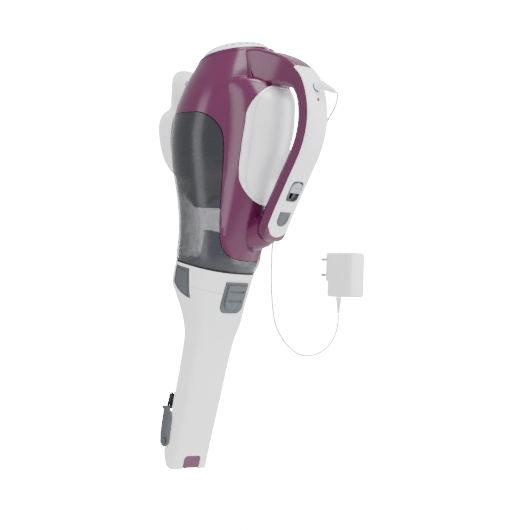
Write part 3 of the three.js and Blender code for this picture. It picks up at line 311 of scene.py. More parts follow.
# %% The recipe for a moulded finish
def finish(name, colour, roughness, grain=0.0, grain_size=900, vary=0.04, edge=0.0005, coat=0.0, metal=0.0):
    material = bpy.data.materials.new(name)
    material.use_nodes = True
    nodes, links = material.node_tree.nodes, material.node_tree.links
    shader = nodes["Principled BSDF"]
    shader.inputs["Metallic"].default_value = metal
    shader.inputs["Coat Weight"].default_value = coat
    shader.inputs["Coat Roughness"].default_value = 0.04
    where = nodes.new("ShaderNodeTexCoord")
    cloud = nodes.new("ShaderNodeTexNoise")
    cloud.inputs["Scale"].default_value = 38
    cloud.inputs["Detail"].default_value = 5
    links.new(where.outputs["Object"], cloud.inputs["Vector"])
    tint = nodes.new("ShaderNodeValToRGB")
    dark = [c * (1 - vary) for c in linear(colour)]
    light = [min(c * (1 + vary), 1) for c in linear(colour)]
    tint.color_ramp.elements[0].position, tint.color_ramp.elements[0].color = 0.3, (*dark, 1)
    tint.color_ramp.elements[1].position, tint.color_ramp.elements[1].color = 0.7, (*light, 1)
    links.new(cloud.outputs["Fac"], tint.inputs["Fac"])
    links.new(tint.outputs["Color"], shader.inputs["Base Color"])
    rub = nodes.new("ShaderNodeMapRange")
    rub.inputs["To Min"].default_value = roughness * 0.85
    rub.inputs["To Max"].default_value = min(roughness * 1.2, 1)
    links.new(cloud.outputs["Fac"], rub.inputs["Value"])
    links.new(rub.outputs["Result"], shader.inputs["Roughness"])
    soft_edge = nodes.new("ShaderNodeBevel")
    soft_edge.samples = 4
    soft_edge.inputs["Radius"].default_value = edge
    bump = nodes.new("ShaderNodeBump")
    bump.inputs["Strength"].default_value = grain
    bump.inputs["Distance"].default_value = 0.0002
    pores = nodes.new("ShaderNodeTexNoise")
    pores.inputs["Scale"].default_value = grain_size
    pores.inputs["Detail"].default_value = 3
    links.new(where.outputs["Object"], pores.inputs["Vector"])
    links.new(pores.outputs["Fac"], bump.inputs["Height"])
    links.new(soft_edge.outputs["Normal"], bump.inputs["Normal"])
    links.new(bump.outputs["Normal"], shader.inputs["Normal"])
    return material

def linear(colour):
    return [(c / 255) / 12.92 if c <= 10 else ((c / 255 + 0.055) / 1.055) ** 2.4 for c in colour]

# %% [markdown]
# The smoke bowl is clear plastic with a grey dye. Real refraction would cost time and hide the filter, so the
# shader lets part of the light straight through and keeps a hard gloss on top. A layer weight lets less
# through at grazing angles, where one looks through more plastic. Inside, a dark liner hangs from the top
# and ends in a round bottom: a soft ellipsoid in the object's own coordinates darkens the plastic over it.

# %% Smoke-clear plastic
def clear_finish(name, colour, see_through, liner=None):
    material = finish(name, colour, 0.24, vary=0.05, edge=0.0)
    nodes, links = material.node_tree.nodes, material.node_tree.links
    shader = nodes["Principled BSDF"]
    facing = nodes.new("ShaderNodeLayerWeight")
    facing.inputs["Blend"].default_value = 0.35
    share = nodes.new("ShaderNodeMapRange")
    share.inputs["To Min"].default_value = 1 - see_through
    share.inputs["To Max"].default_value = 0.97
    links.new(facing.outputs["Facing"], share.inputs["Value"])
    links.new(share.outputs["Result"], shader.inputs["Alpha"])
    if liner:
        middle, size, dark = liner
        where = nodes.new("ShaderNodeTexCoord")
        scaled = nodes.new("ShaderNodeMapping")
        scaled.inputs["Location"].default_value = [-m / s for m, s in zip(middle, size)]
        scaled.inputs["Scale"].default_value = [1 / s for s in size]
        away = nodes.new("ShaderNodeVectorMath")
        away.operation = "LENGTH"
        inside = nodes.new("ShaderNodeMapRange")
        inside.inputs["From Min"].default_value = 1.03
        inside.inputs["From Max"].default_value = 0.97
        paint = nodes.new("ShaderNodeMix")
        paint.data_type = "RGBA"
        paint.inputs["B"].default_value = (*linear(dark), 1)
        links.new(where.outputs["Object"], scaled.inputs["Vector"])
        links.new(scaled.outputs["Vector"], away.inputs[0])
        links.new(away.outputs["Value"], inside.inputs["Value"])
        links.new(inside.outputs["Result"], paint.inputs["Factor"])
        links.new(nodes["Color Ramp"].outputs["Color"], paint.inputs["A"])
        links.new(paint.outputs["Result"], shader.inputs["Base Color"])
        solid_share = nodes.new("ShaderNodeMath")
        solid_share.operation = "MAXIMUM"
        half_inside = nodes.new("ShaderNodeMath")
        half_inside.operation = "MULTIPLY"
        half_inside.inputs[1].default_value = 0.9
        links.new(inside.outputs["Result"], half_inside.inputs[0])
        links.new(half_inside.outputs["Value"], solid_share.inputs[0])
        links.new(share.outputs["Result"], solid_share.inputs[1])
        links.new(solid_share.outputs["Value"], shader.inputs["Alpha"])
    return material

# %% The finishes of this vacuum
PURPLE = finish("aubergine_gloss", (78, 16, 58), 0.2, grain=0.012, vary=0.03)
WHITE = finish("white_satin_plastic", (247, 248, 252), 0.32, grain=0.05, vary=0.008)
SILVER = finish("pearl_silver_panel", (236, 236, 241), 0.28, grain=0.02, vary=0.01, metal=0.15)
GREY = finish("grey_fine_texture", (66, 72, 77), 0.45, grain=0.3, grain_size=1400, vary=0.06)
# A lighter grey than the other grey parts, used for the thumb slider.
BRIGHT_GREY = finish("light_grey_slider_plastic", (168, 172, 176), 0.3, grain=0.1, vary=0.04)
DARK = finish("dark_matt_plastic", (38, 39, 42), 0.6, grain=0.3, vary=0.1)
# Painted shade: a near-black finish for the sheet that stands for the shade inside the vent holes.
HOLE_SHADE = finish("painted_vent_hole_shade", (24, 24, 26), 0.95, grain=0.9, grain_size=1100, vary=0.3)
RUBBER = finish("black_seal_rubber", (26, 26, 28), 0.75, grain=0.25, vary=0.12)
STEEL = finish("bright_screw_steel", (190, 192, 196), 0.3, grain=0.15, grain_size=500, metal=1.0)
WRAP = finish("cell_shrink_wrap", (60, 110, 84), 0.35, grain=0.05)
PAPER = finish("filter_paper", (226, 222, 208), 0.9, grain=0.6, grain_size=600, vary=0.06)
FIBRE = finish("black_brush_fibre", (30, 30, 32), 0.45, vary=0.15, edge=0.0001)
CORD = finish("white_cord_sleeve", (224, 224, 226), 0.42, grain=0.12, vary=0.02, edge=0.0001)
BOARD = finish("green_board", (30, 100, 58), 0.4, grain=0.1)
LENS = finish("red_lamp_lens", (150, 14, 22), 0.14, vary=0.03)
SMOKE = clear_finish("smoke_clear_plastic", (52, 54, 60), 0.3)
LINED_SMOKE = clear_finish("smoke_over_liner", (52, 54, 60), 0.3,
                           ((0.0, -0.066, -0.01), (0.08, 0.047, 0.098), (33, 34, 39)))
lead.data.materials.append(CORD)
print("finishes", len([m for m in bpy.data.materials if m.use_nodes]))

# %% Handing a piece in
def hand_in(piece, name, body, material, nodes, angle=34):
    """Names a finished piece, smooths it, gives it its finish and puts it on its body."""
    piece.name = name
    keep_closed(piece.data)
    piece.data.name = name
    piece.data.materials.clear()
    piece.data.materials.append(material)
    piece.data.polygons.foreach_set("material_index", [0] * len(piece.data.polygons))
    piece.data.shade_smooth()
    piece.data.set_sharp_from_angle(angle=math.radians(angle))
    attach(piece, body)
    if nodes:
        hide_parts(*nodes)
    print(name, len(piece.data.polygons), "faces")
    return piece

# %% [markdown]
# ## The body's sections
# The body, the bowl, the collar and the nozzle share one flowing outer surface. It is described by a few
# sections: height, centre, half depth, half width, squareness and how much the section leans. Everything in
# between is a smooth curve, and an inset gives the inside of a wall.

# %% The sections
BODY = [
    (77, 15.7, 0.77, 0.67, 2.0, 0.2), (66, 13.2, 0.835, 0.735, 2.0, 0.17), (52, 10.5, 0.91, 0.83, 2.0, 0.12),
    (36, 7.7, 0.963, 0.91, 2.0, 0.06), (15, 3.7, 0.995, 0.975, 2.05, 0), (-10, 0, 1, 1, 2.05, 0),
    (-30, -1.3, 0.982, 0.968, 2.05, 0), (-48, -1.9, 0.96, 0.912, 2.05, 0), (-66, -2.3, 0.922, 0.847, 2.0, 0),
    (-84, -2.3, 0.889, 0.783, 2.0, 0), (-104, -2.3, 0.861, 0.742, 2.05, -0.03),
    (-124, -2.6, 0.852, 0.726, 2.1, -0.1), (-140, -4.5, 0.833, 0.715, 2.2, -0.17),
    (-152.4, -8.7, 0.72, 0.669, 2.6, -0.22)]
NOZZLE = [
    (-176, 47.0, 2.9, 1.39, 3, -0.24), (-190, 48.0, 2.46, 1.28, 3.3, -0.24),
    (-208, 50.1, 1.74, 1.17, 4.5, -0.23),
    (-226, 48.4, 1.2, 1.05, 7, -0.22), (-250, 43.0, 1.02, 1.0, 8, -0.2), (-300, 31.4, 0.985, 0.972, 8, -0.1),
    (-345, 20.6, 0.95, 0.95, 8, 0), (-381, 11.8, 0.88, 0.97, 8, 0)]
STATIONS = np.array(
    [(z, 62.3 + shift, 54 * d, 62 * w, q, rise) for z, shift, d, w, q, rise in BODY]
    + [(z, centre, 12.4 * d, 28 * w, q, rise) for z, centre, d, w, q, rise in NOZZLE])

def between(z):
    """Centre, half depth, half width, squareness and rise at a height."""
    heights = STATIONS[:, 0]
    n = int(np.clip(np.searchsorted(-heights, -z) - 1, 0, len(heights) - 2))
    low, high = max(n - 1, 0), min(n + 2, len(heights) - 1)
    first = (STATIONS[n + 1] - STATIONS[low]) / (heights[n + 1] - heights[low])
    second = (STATIONS[high] - STATIONS[n]) / (heights[high] - heights[n])
    span = heights[n + 1] - heights[n]
    s = float(np.clip((z - heights[n]) / span, 0, 1))
    return (STATIONS[n] * (2 * s**3 - 3 * s**2 + 1) + first * span * (s**3 - 2 * s**2 + s)
            + STATIONS[n + 1] * (3 * s**2 - 2 * s**3) + second * span * (s**3 - s**2))[1:]

def section(z, inset, around=96):
    centre, depth, width, squareness, rise = between(z)
    angle = np.linspace(0, 2 * math.pi, around, endpoint=False)
    c, s = np.cos(angle), np.sin(angle)
    c[np.abs(c) < 1e-9] = 0
    s[np.abs(s) < 1e-9] = 0
    x = np.sign(c) * np.abs(c) ** (2 / squareness) * (width - inset)
    out = np.sign(s) * np.abs(s) ** (2 / squareness) * (depth - inset)
    return np.stack([x, centre + out, z + rise * out], axis=1)

def loft(high, low, inset, step=4.0):
    heights = np.linspace(high, low, max(int(abs(high - low) / step), 2))
    return skin([section(z, inset) for z in heights])

RIM, SEAM, PARTING = 77, -152.4, -173.9
rim_centre = between(RIM)[0]
seam_centre, seam_rise = between(SEAM)[0], between(SEAM)[4]
parting_centre = between(PARTING)[0]
print("rim centre", round(rim_centre, 1), "seam centre", round(seam_centre, 1))

# %% Planes that lean across the body
def above_plane(height, centre, rise, reach=240):
    low, high = -60, 190
    return pulled([(low, height + rise * (low - centre)), (high, height + rise * (high - centre)),
                   (high, height + reach), (low, height + reach)], side_view, -100, 100)

def below_plane(height, centre, rise, reach=320):
    low, high = -60, 190
    return pulled([(low, height + rise * (low - centre)), (high, height + rise * (high - centre)),
                   (high, height - reach), (low, height - reach)], side_view, -100, 100)

# %% [markdown]
# ## The raised spine and the seam
# Under the handle the shells rise into a spine that carries the pearl panel. Where the shells end, the bowl
# begins: that seam runs level at the back, then sweeps down the side in one S. Both pieces are cut by the
# same line, so the seam keeps one even width.

# %% The spine
SPINE = np.array([(56, 80, 32, 34), (46, 82, 43, 56), (24, 85, 43, 63), (0, 85, 42, 63), (-30, 82, 39.5, 60),
                  (-60, 80, 37, 49.5), (-90, 78, 36, 44), (-120, 74.5, 35, 38.5), (-150, 66, 33, 36)], float)

def spine(inset, around=72):
    rings = []
    fine = smooth_line(SPINE[:, [1, 2, 3]] * 1.0, steps=6)
    heights = smooth_line(np.repeat(SPINE[:, :1], 3, axis=1), steps=6)[:, 0]
    for z, (centre, half_width, reach) in zip(heights, fine):
        angle = np.linspace(0, 2 * math.pi, around, endpoint=False)
        c, s = np.cos(angle), np.sin(angle)
        x = np.sign(c) * np.abs(c) ** 0.8 * (half_width - inset)
        y = centre + np.sign(s) * np.abs(s) ** 0.8 * np.where(s > 0, reach - inset, 12)
        rings.append(np.stack([x, y, np.full(around, z)], axis=1))
    return skin(rings)

# %% The seam between shells and bowl
def bezier(a, b, c, d, steps=24):
    a, b, c, d = (np.array(p, float) for p in (a, b, c, d))
    return [a * (1 - t)**3 + 3 * b * t * (1 - t)**2 + 3 * c * t**2 * (1 - t) + d * t**3
            for t in np.linspace(0, 1, steps + 1)[1:]]

def shell_region(shift):
    line = [np.array((-60.0, 12)), np.array((72.0, 12))]
    line += bezier((72, 12), (88, 12), (100.5, 2), (100.5, -16))
    line += bezier((100.5, -16), (100.5, -48), (90.5, -72), (90.5, -112))
    line += bezier((90.5, -112), (90.5, -136), (96, -148), (112, -148))
    line = [p - shift for p in line]
    line += [np.array((160.0, -148 - shift)), np.array((160.0, 160)), np.array((-60.0 - shift, 160))]
    return pulled(line, side_view, -100, 100)

# %% [markdown]
# ## The handle
# The handle is a hollow bar that grows out of the rear rim, bends over and comes down to the chin. Its
# outside is flat for the cover and its palm side is round. It is swept section by section along its line.

# %% The handle's sweep
def handle_size(share):
    def ease(a, b):
        t = float(np.clip((share - a) / (b - a), 0, 1))
        return 1 - t * t * (3 - 2 * t)
    return 16.5 + 9 * ease(0.02, 0.26), 20 + 23 * ease(0.05, 0.42)

def handle_section(share, inset, shrink=1.0):
    half_width, depth = handle_size(share)
    half = (half_width - inset) * shrink
    low, high = -depth * (0.5 + shrink / 2) + inset, -depth * (0.5 - shrink / 2) - inset
    small, large = 3.6, min(8.5, half - 1, (high - low) / 2)
    ring = []
    for cx, cz, radius, start in ((half - small, high - small, small, 0),
                                  (-half + small, high - small, small, 90),
                                  (-half + large, low + large, large, 180),
                                  (half - large, low + large, large, 270)):
        for a in np.radians(np.linspace(start, start + 90, 9)):
            ring.append((cx + radius * math.cos(a), cz + radius * math.sin(a)))
    rows = handle_frame(share)
    return [rows[3] + u * rows[0] + w * rows[2] for u, w in ring]

def handle_sweep(inset):
    rings = [handle_section(share, inset) for share in np.linspace(0, 0.965, 70)]
    if inset < 2.4:
        rings += [handle_section(0.978, inset, 0.96), handle_section(0.988, inset, 0.9),
                  handle_section(0.995, inset, 0.8), handle_section(1, inset, 0.66)]
    return skin(rings)

def cover_region(below, start, end):
    inner = [on_handle(share, 0, 0, -below)[1:] for share in np.linspace(start, end, 50)]
    outer = [on_handle(share, 0, 0, 12)[1:] for share in np.linspace(end, start, 50)]
    return pulled([*inner, *outer], side_view, -40, 40)

def rounded_end(grow):
    """The cover's outline from outside: straight sides and a round lower end."""
    half, tall = 16.6 + grow, 15 + grow
    arc = [(half * math.cos(a), tall * math.sin(a)) for a in np.linspace(0, -math.pi, 36)]
    line = [(half, 60), *arc, (-half, 60)]
    place = lambda u, v, w: on_handle(0.925, u, v, w)
    ahead = pulled([(-40, 0), (40, 0), (40, 400), (-40, 400)], place, -300, 60)
    return join(pulled(line, place, -10, 12), ahead)

def foot(inset):
    rings = []
    for y, z, half_height, half_width in smooth_foot:
        rings.append([((half_width - inset) * math.cos(a), y, z + (half_height - inset) * math.sin(a))
                      for a in np.linspace(0, 2 * math.pi, 48, endpoint=False)])
    return skin(rings)

foot_rows = np.array([(88, -119, 19, 15.5), (102, -118, 19, 15.2), (116, -116, 18.5, 15),
                      (128, -114, 16, 14.5), (137, -111, 12, 13.8)], float)
smooth_foot = np.column_stack([smooth_line(foot_rows[:, :3], 5), smooth_line(foot_rows[:, 1:], 5)[:, 2]])

# %% [markdown]
# ## The shells
# Two glossy shells meet on the middle plane and are held by three screws from the far side. We build the
# whole body as one hollow solid, cut its openings, then split it with two boxes that leave a hair's gap.

# %% The shells
RING_SEAM = RIM - 3.6

def panel_outline(grow):
    half, top, low = 36 + grow, 42 + grow, -86.5 - grow
    right = bezier((0, top), (20, top), (half - 2, 33), (half - 0.2, 10), 16)
    right += bezier((half - 0.2, 10), (half + 0.4, -6), (half - 1.8, -38), (half - 4.4, -54), 14)
    right += bezier((half - 4.4, -54), (half - 7, -76), (16, low), (0, low), 18)
    left = [np.array((-p[0], p[1])) for p in reversed(right[:-1])]
    return [*right, *left, np.array((0.0, top))][:-1] + [np.array((0.0, top))]

def hook_prism(clearance, low, high):
    half, thick = 9 + clearance, 2 + clearance
    def place(u, v, w):
        return (u, 6 + 0.8 * v + 0.6 * w, 10 - 0.6 * v + 0.8 * w)
    return pulled([(-half, -thick), (half, -thick), (half, thick), (-half, thick)], place, low, high)

def screw_places():
    return [(on_handle(0.6, 0, 0, 4.6 - handle_size(0.6)[1]), 16.2),
            (on_handle(0.34, 0, 0, 4.6 - handle_size(0.34)[1]), 16.2), (np.array((0, 118.0, -128)), 13.6)]

handle = handle_sweep(0)
handle.name = "tool_handle"
body_shape = loft(RIM, SEAM, 0)
body_shape.name = "tool_body"
inner_shape = loft(RIM + 6, SEAM - 6, 2.4)
inner_shape.name = "tool_inner"
below_ring = above_plane(RING_SEAM - 0.15, rim_centre, 0.2)
below_ring.name = "tool_ring_plane"

shell = cut(join(copy(body_shape), spine(0)), join(copy(inner_shape), spine(2.4)))
shell = cut(common(shell, shell_region(0)), below_ring)
grip = cut(copy(handle), handle_sweep(2.4), loft(RIM + 3, SEAM, 1.2), spine(1.2))
grip = cut(grip, common(copy(below_ring), box(-90, 90, -60, 121, -60, 200)))
grip = cut(grip, common(cover_region(2.9, 0.286, 0.985), rounded_end(0.3)))
stalk = cut(foot(0), foot(2.4), loft(RIM + 3, SEAM, 1.2), spine(1.2), handle_sweep(1.2))
passage = cut(common(foot(2.9), handle), cover_region(3.4, 0.7, 1))
shell = join(shell, cut(grip, passage), stalk)
shell = cut(shell, cut(common(pulled(panel_outline(0.3), front_view, 84, 150), spine(-1.4)), spine(6.4)))
shell = cut(shell, hook_prism(0.6, -30, 31.5))
for place, reach in screw_places():
    shell = cut(shell, turned([(2.9, 0), (2.9, 20)], (-reach + 2.2 - 20, place[1], place[2]), (1, 0, 0), 24))
print("shells", len(shell.data.polygons), "faces")

# %% Two halves
near = cut(copy(shell), box(-100, 0.12, -60, 250, -200, 200))
far = cut(shell, box(-0.12, 100, -60, 250, -200, 200))
for half, side in ((near, "near"), (far, "far")):
    hand_in(half, f"{side}_gloss_shell", "hand_unit", PURPLE, [f"{side}_shell"])

# %% [markdown]
# ## The rear ring, the vent and the panel
# A thin ring closes the shells at the rear and holds the white vent dome. Warm air leaves through three
# rows of small oblong holes. The panel is a thin pearl skin on the spine with a lip all round.

# %% The rear ring
ring = cut(common(copy(body_shape), above_plane(RING_SEAM + 0.15, rim_centre, 0.2)), inner_shape)
ring = cut(ring, tube(60, between(RING_SEAM - 0.6)[2] - 0.5, 0.5, (0, rim_centre, RING_SEAM + 0.5),
                      (0, -0.2, 1), 96))
hand_in(ring, "rear_gloss_ring", "hand_unit", PURPLE, ["rear_trim_ring"])

# %% The vent dome
def arc_profile(points, steps=5):
    return [(p[1], p[2]) for p in smooth_line([(0, *q) for q in points], steps)]

vent_way = Vector((0, -0.2, 1)).normalized()
vent_at = Vector((0, rim_centre, RIM)) - vent_way * 3
r = between(RIM)[2] - 3.0
dome = turned([(r, 0), *arc_profile([(r, 3.4), (r - 1.8, 7.2), (r - 5, 10.4), (r - 11, 13), (r - 20, 14.9),
                                     (0, 16)])],
              vent_at, vent_way, 96)
hollow = turned([(r - 2.2, -1), *arc_profile([(r - 2.2, 3), (r - 4, 6.2), (r - 7, 8.9), (r - 12, 11),
                                              (r - 20.6, 12.7), (0, 13.8)])],
                vent_at, vent_way, 96)
vent = cut(dome, hollow)

def vent_slot(radius, height, lean, turn):
    """One oblong hole, drawn at the dome's front and turned round its axis."""
    across = Vector((1, 0, 0))
    other = vent_way.cross(across)
    round_by = across * math.cos(turn) + other * math.sin(turn)
    side = vent_way.cross(round_by)
    way = round_by * math.sin(lean) + vent_way * math.cos(lean)
    slope = round_by * math.cos(lean) - vent_way * math.sin(lean)
    middle = vent_at + round_by * radius + vent_way * height
    outline = [(2.3 * math.copysign(abs(math.cos(a)) ** 0.5, math.cos(a)),
                1.05 * math.copysign(abs(math.sin(a)) ** 0.7, math.sin(a)))
               for a in np.linspace(0, 2 * math.pi, 12, endpoint=False)]
    return pulled(outline, lambda u, v, w: middle + side * u + slope * v + way * w, -4, 5)

for row, (inward, height, lean, count) in enumerate(((2.6, 8.2, 1.0, 30), (6.8, 11.2, 0.62, 26),
                                                     (12.4, 13.2, 0.35, 22))):
    slots = [vent_slot(r - inward, height, lean, 2 * math.pi * (k + 0.5 * row) / count) for k in range(count)]
    vent = cut(vent, *slots)
hand_in(vent, "rear_vent_dome", "hand_unit", WHITE, ["rear_vent_grille"])

# %% [markdown]
# Behind the holes a thin dark sheet paints the shade inside the vent holes; it is painted shade, not a
# filter.

# %% Painted shade behind the vent holes
# A dark shell under the dome paints the shade that one sees in the vent holes.
hole_shade_sheet = cut(turned([(r - 2.6, 0), *arc_profile([(r - 2.6, 2.8), (r - 4.4, 5.9), (r - 7.4, 8.5),
                                               (r - 12.4, 10.5),
                                               (r - 21, 12.1), (0, 13.2)])], vent_at, vent_way, 96),
           turned([(r - 4.2, -1), *arc_profile([(r - 4.2, 2.4), (r - 6, 5), (r - 8.8, 7.3), (r - 13.6, 9.1),
                                                (r - 21.8, 10.7), (0, 11.8)])], vent_at, vent_way, 96))
hand_in(hole_shade_sheet, "exhaust_foam", "hand_unit", HOLE_SHADE, [])

# %% The pearl panel
panel = common(cut(spine(-0.8), spine(1.6)), pulled(panel_outline(0), front_view, 84, 150))
lip_groove = cut(cut(spine(-2), spine(0.1)), pulled(panel_outline(-4.2), front_view, 60, 170))
lip_groove = common(lip_groove, pulled(panel_outline(-2.9), front_view, 60, 170))
panel = cut(panel, lip_groove)
hand_in(panel, "pearl_panel", "hand_unit", SILVER, ["under_handle_panel"], angle=28)

# %% [markdown]
# ## The grip cover, the switch and the button
# The cover is a satin strip let into the handle. The switch slides in a grey tray; it stands up for the
# thumb and has a shallow dip on top. The button below has a square top and a round foot.

# %% Outlines for the controls
def rounded_box(half, low, high, radius, steps=6):
    corners = ((half - radius, high - radius, 0), (-half + radius, high - radius, 90),
               (-half + radius, low + radius, 180), (half - radius, low + radius, 270))
    return [(cx + radius * math.cos(a), cy + radius * math.sin(a)) for cx, cy, start in corners
            for a in np.radians(np.linspace(start, start + 90, steps))]

def d_outline(half, low, high, round_top):
    arc = np.linspace(0, math.pi, 24)
    if round_top:
        return [(half, low), *[(half * math.cos(a), high - half + half * math.sin(a)) for a in arc],
                (-half, low)]
    return [(-half, high), *[(-half * math.cos(a), low + half - half * math.sin(a)) for a in arc],
            (half, high)]

def at_share(share):
    return lambda u, v, w: on_handle(share, u, v, w)

# %% The grip cover
cover = common(copy(handle), common(cover_region(2.6, 0.287, 0.985), rounded_end(0)))
cover = cut(cover, pulled(rounded_box(9.9, -12.3, 12.3, 5.3), at_share(TRACK_SHARE), -8, 6))
cover = cut(cover, pulled(d_outline(8.8, -8.55, 8.55, False), at_share(BUTTON_SHARE), -8, 6))
for share, radius in ((LAMP_SHARE, 2.2), (JACK_SHARE, 5.1)):
    rows = handle_frame(share)
    cover = cut(cover, turned([(radius, 0), (radius, 20)], rows[3] - rows[2] * 10, rows[2], 40))
hand_in(cover, "grip_cover_strip", "hand_unit", WHITE, ["handle_grip_cover"])

# %% The switch
tray = cut(pulled(rounded_box(9.6, -12, 12, 5), at_share(TRACK_SHARE), -4.4, -0.3, 0.3),
           pulled(rounded_box(8.4, -10.8, 10.8, 4.2), at_share(TRACK_SHARE), -2.6, 3),
           pulled(rounded_box(2.4, -9.4, 8, 1), at_share(TRACK_SHARE), -8, 3))
hand_in(tray, "switch_recess", "hand_unit", GREY, ["switch_tray"])
KNOB_TOP, KNOB_LENGTH = 10.5, 11.5
knob_low = KNOB_TOP - KNOB_LENGTH
knob = pulled(d_outline(8.1, knob_low, KNOB_TOP, True), at_share(TRACK_SHARE), -2.3, 2.2, 0.7)
dip = pulled(rounded_box(6.2, knob_low + 1.4, KNOB_TOP - 1.6, 4.5), at_share(TRACK_SHARE), 1.75, 4)
knob = join(cut(knob, dip), pulled(rounded_box(1.9, knob_low + 5, KNOB_TOP - 3.5, 0.8),
                                   at_share(TRACK_SHARE), -6, -2))
hand_in(knob, "thumb_slider", "slider", BRIGHT_GREY, ["power_slider"])

# %% The release button
press = pulled(d_outline(8.5, -8.25, 8.25, False), at_share(BUTTON_SHARE), -4.8, 0.9, 0.5)
press = join(press, pulled(rounded_box(3, -3, 3, 0.8), at_share(BUTTON_SHARE), -7.6, -4))
press = cut(press, pulled(rounded_box(5.2, -4.6, 5.4, 2.2), at_share(BUTTON_SHARE), 0.65, 3))
hand_in(press, "release_push", "release_button", GREY, ["bowl_release_button"])

# %% [markdown]
# ## The charging jack and the lamp
# Both look out through the cover: a dark socket ring for the plug, and a small red lens that stands a hair
# proud and is domed, so that it throws a point of light.

# %% The jack and the lamp
rows = handle_frame(JACK_SHARE)
jack = turned([(4.8, 0), (4.8, 12.1), (4.5, 12.4), (3.7, 12.4), (3.4, 12.1), (3.4, 1.5), (0, 1.5)],
              rows[3] - rows[2] * 12, rows[2], 48)
hand_in(jack, "charge_socket", "hand_unit", DARK, ["charge_jack"])
rows = handle_frame(LAMP_SHARE)
lamp = turned([(1.9, 0), (1.9, 4.5), *[(1.9 * math.cos(a),
                                        4.5 + 0.9 * math.sin(a)) for a in np.radians([20, 40, 60, 80])]],
              rows[3] - rows[2] * 4.5, rows[2], 32)
hand_in(lamp, "charge_lamp", "hand_unit", LENS, ["charge_led"])

# %% [markdown]
# ## The bowl
# The bowl is the body's own surface below the seam, with a wall of 2.4 mm. One sees the filter's dark cup and
# the inlet tube through it. A thin shadow ring at the seam and the black gasket at the foot mark its ends.

# %% The smoke bowl
nozzle_way = Vector((0, 0.2285, 1)).normalized()
duct_foot = Vector((0, seam_centre - 2, SEAM + 1))
floor_height = SEAM + 1.8 + 0.3
outside = cut(copy(body_shape), shell_region(0.6), below_plane(floor_height, seam_centre, seam_rise))
inside = cut(loft(20, SEAM, 2.4), shell_region(3.0), below_plane(floor_height + 2.4, seam_centre, seam_rise))
mouth = turned([(17.3, 0), (17.3, 20)], duct_foot - nozzle_way * 8, nozzle_way, 64)
top_way = common(loft(20, -8, 2.4), box(-90, 90, -60, 86, -4, 60))
bowl = cut(outside, inside, mouth, top_way)
hand_in(bowl, "smoke_bowl", "bowl", LINED_SMOKE, ["dust_bowl"])

# %% The gasket and the collar
def seam_band(inset, low_inset, low, high):
    band = cut(loft(SEAM + 12, SEAM - 8, inset, 1), loft(SEAM + 14, SEAM - 10, low_inset, 1))
    return common(cut(band, below_plane(SEAM + low, seam_centre, seam_rise)),
                  below_plane(SEAM + high, seam_centre, seam_rise))

gasket = seam_band(0.4, 5.9, 0.0, 1.8)
hand_in(gasket, "bowl_gasket", "bowl", RUBBER, ["bowl_seal"])

def clip_outline(grow):
    curve = [(51 + grow, -188 - grow)]
    for t in np.linspace(0, 1, 14)[1:]:
        a, b, c = np.array((51 + grow, -188 - grow)), np.array((34, -183 - grow)), np.array((27 - grow, -169))
        curve.append(tuple(a * (1 - t)**2 + 2 * b * t * (1 - t) + c * t**2))
    return [(31 - grow, -151 + grow), (53 + grow, -156 + grow), *curve]

def mirrored(piece):
    for vertex in piece.data.vertices:
        vertex.co.x = -vertex.co.x
    keep_closed(piece.data)
    return piece

def latch_outline(grow):
    half, low, high = 17.5 + grow, -203 - grow, -170 + grow
    corner = [(half + 9 * (math.cos(a) - 1), low + 9 * (1 - math.sin(a))) for a in np.linspace(0,
        math.pi / 2, 12)]
    other = [(-x, z) for x, z in reversed(corner)]
    return [(half, high), *corner, *other, (-half, high)]

collar = cut(loft(SEAM + 6, -192, 0, 2), loft(SEAM + 14, -196, 3.0, 2))
deck = common(loft(SEAM + 8, SEAM - 10, 2.4, 2), below_plane(SEAM - 0.3, seam_centre, seam_rise))
deck = cut(deck, below_plane(SEAM - 2.7, seam_centre, seam_rise))
collar = common(join(collar, deck), below_plane(SEAM - 0.3, seam_centre, seam_rise))
collar = cut(collar, below_plane(PARTING + 0.15, parting_centre, -0.24))
collar = cut(collar, turned([(17.3, 0), (17.3, 60)], duct_foot - nozzle_way * 30, nozzle_way, 64))
collar = cut(collar, pulled(latch_outline(0.3), front_view, 60, 110))
for turn in (False, True):
    pocket = cut(pulled(clip_outline(0.3), side_view, 30, 60), loft(SEAM + 6, -192, 1.9, 2))
    collar = cut(collar, mirrored(pocket) if turn else pocket)
hand_in(collar, "white_collar", "bowl", WHITE, ["nozzle_collar"])

# %% The inlet tube and its flap
duct = tube(17, 15, 46, duct_foot - nozzle_way * 12, nozzle_way, 64)
duct = join(duct, tube(20, 16, 1.8, duct_foot + nozzle_way * 6.6, nozzle_way, 64))
hand_in(duct, "inlet_pipe", "bowl", SMOKE, ["inlet_duct"])

# %% [markdown]
# ## The nozzle
# Below its collar the nozzle runs into a flat duct that leans towards the wall, with round long edges and a
# slanted mouth. The grey clips at both sides and the wide latch in front lie in pockets of the same outline.

# %% The nozzle
TIP = -376.5

def mouth_cut(lift=0.0):
    line = [(-20, TIP + 22), (7.2, TIP + 22), (12.5, TIP + 4.5), (17, TIP + 1.5), (28, TIP), (60, TIP - 1),
            (60, -420), (-20, -420)]
    return pulled([(y, z + lift) for y, z in line], side_view, -60, 60)

def pad_outline(grow):
    half, top = 13 + grow, TIP + 15 + grow
    corner = [(half - 4 + 4 * math.cos(a), top - 4 + 4 * math.sin(a)) for a in np.linspace(0, math.pi / 2,
        10)]
    return [(half, TIP - 12), *corner, *[(-x, z) for x, z in reversed(corner)], (-half, TIP - 12)]

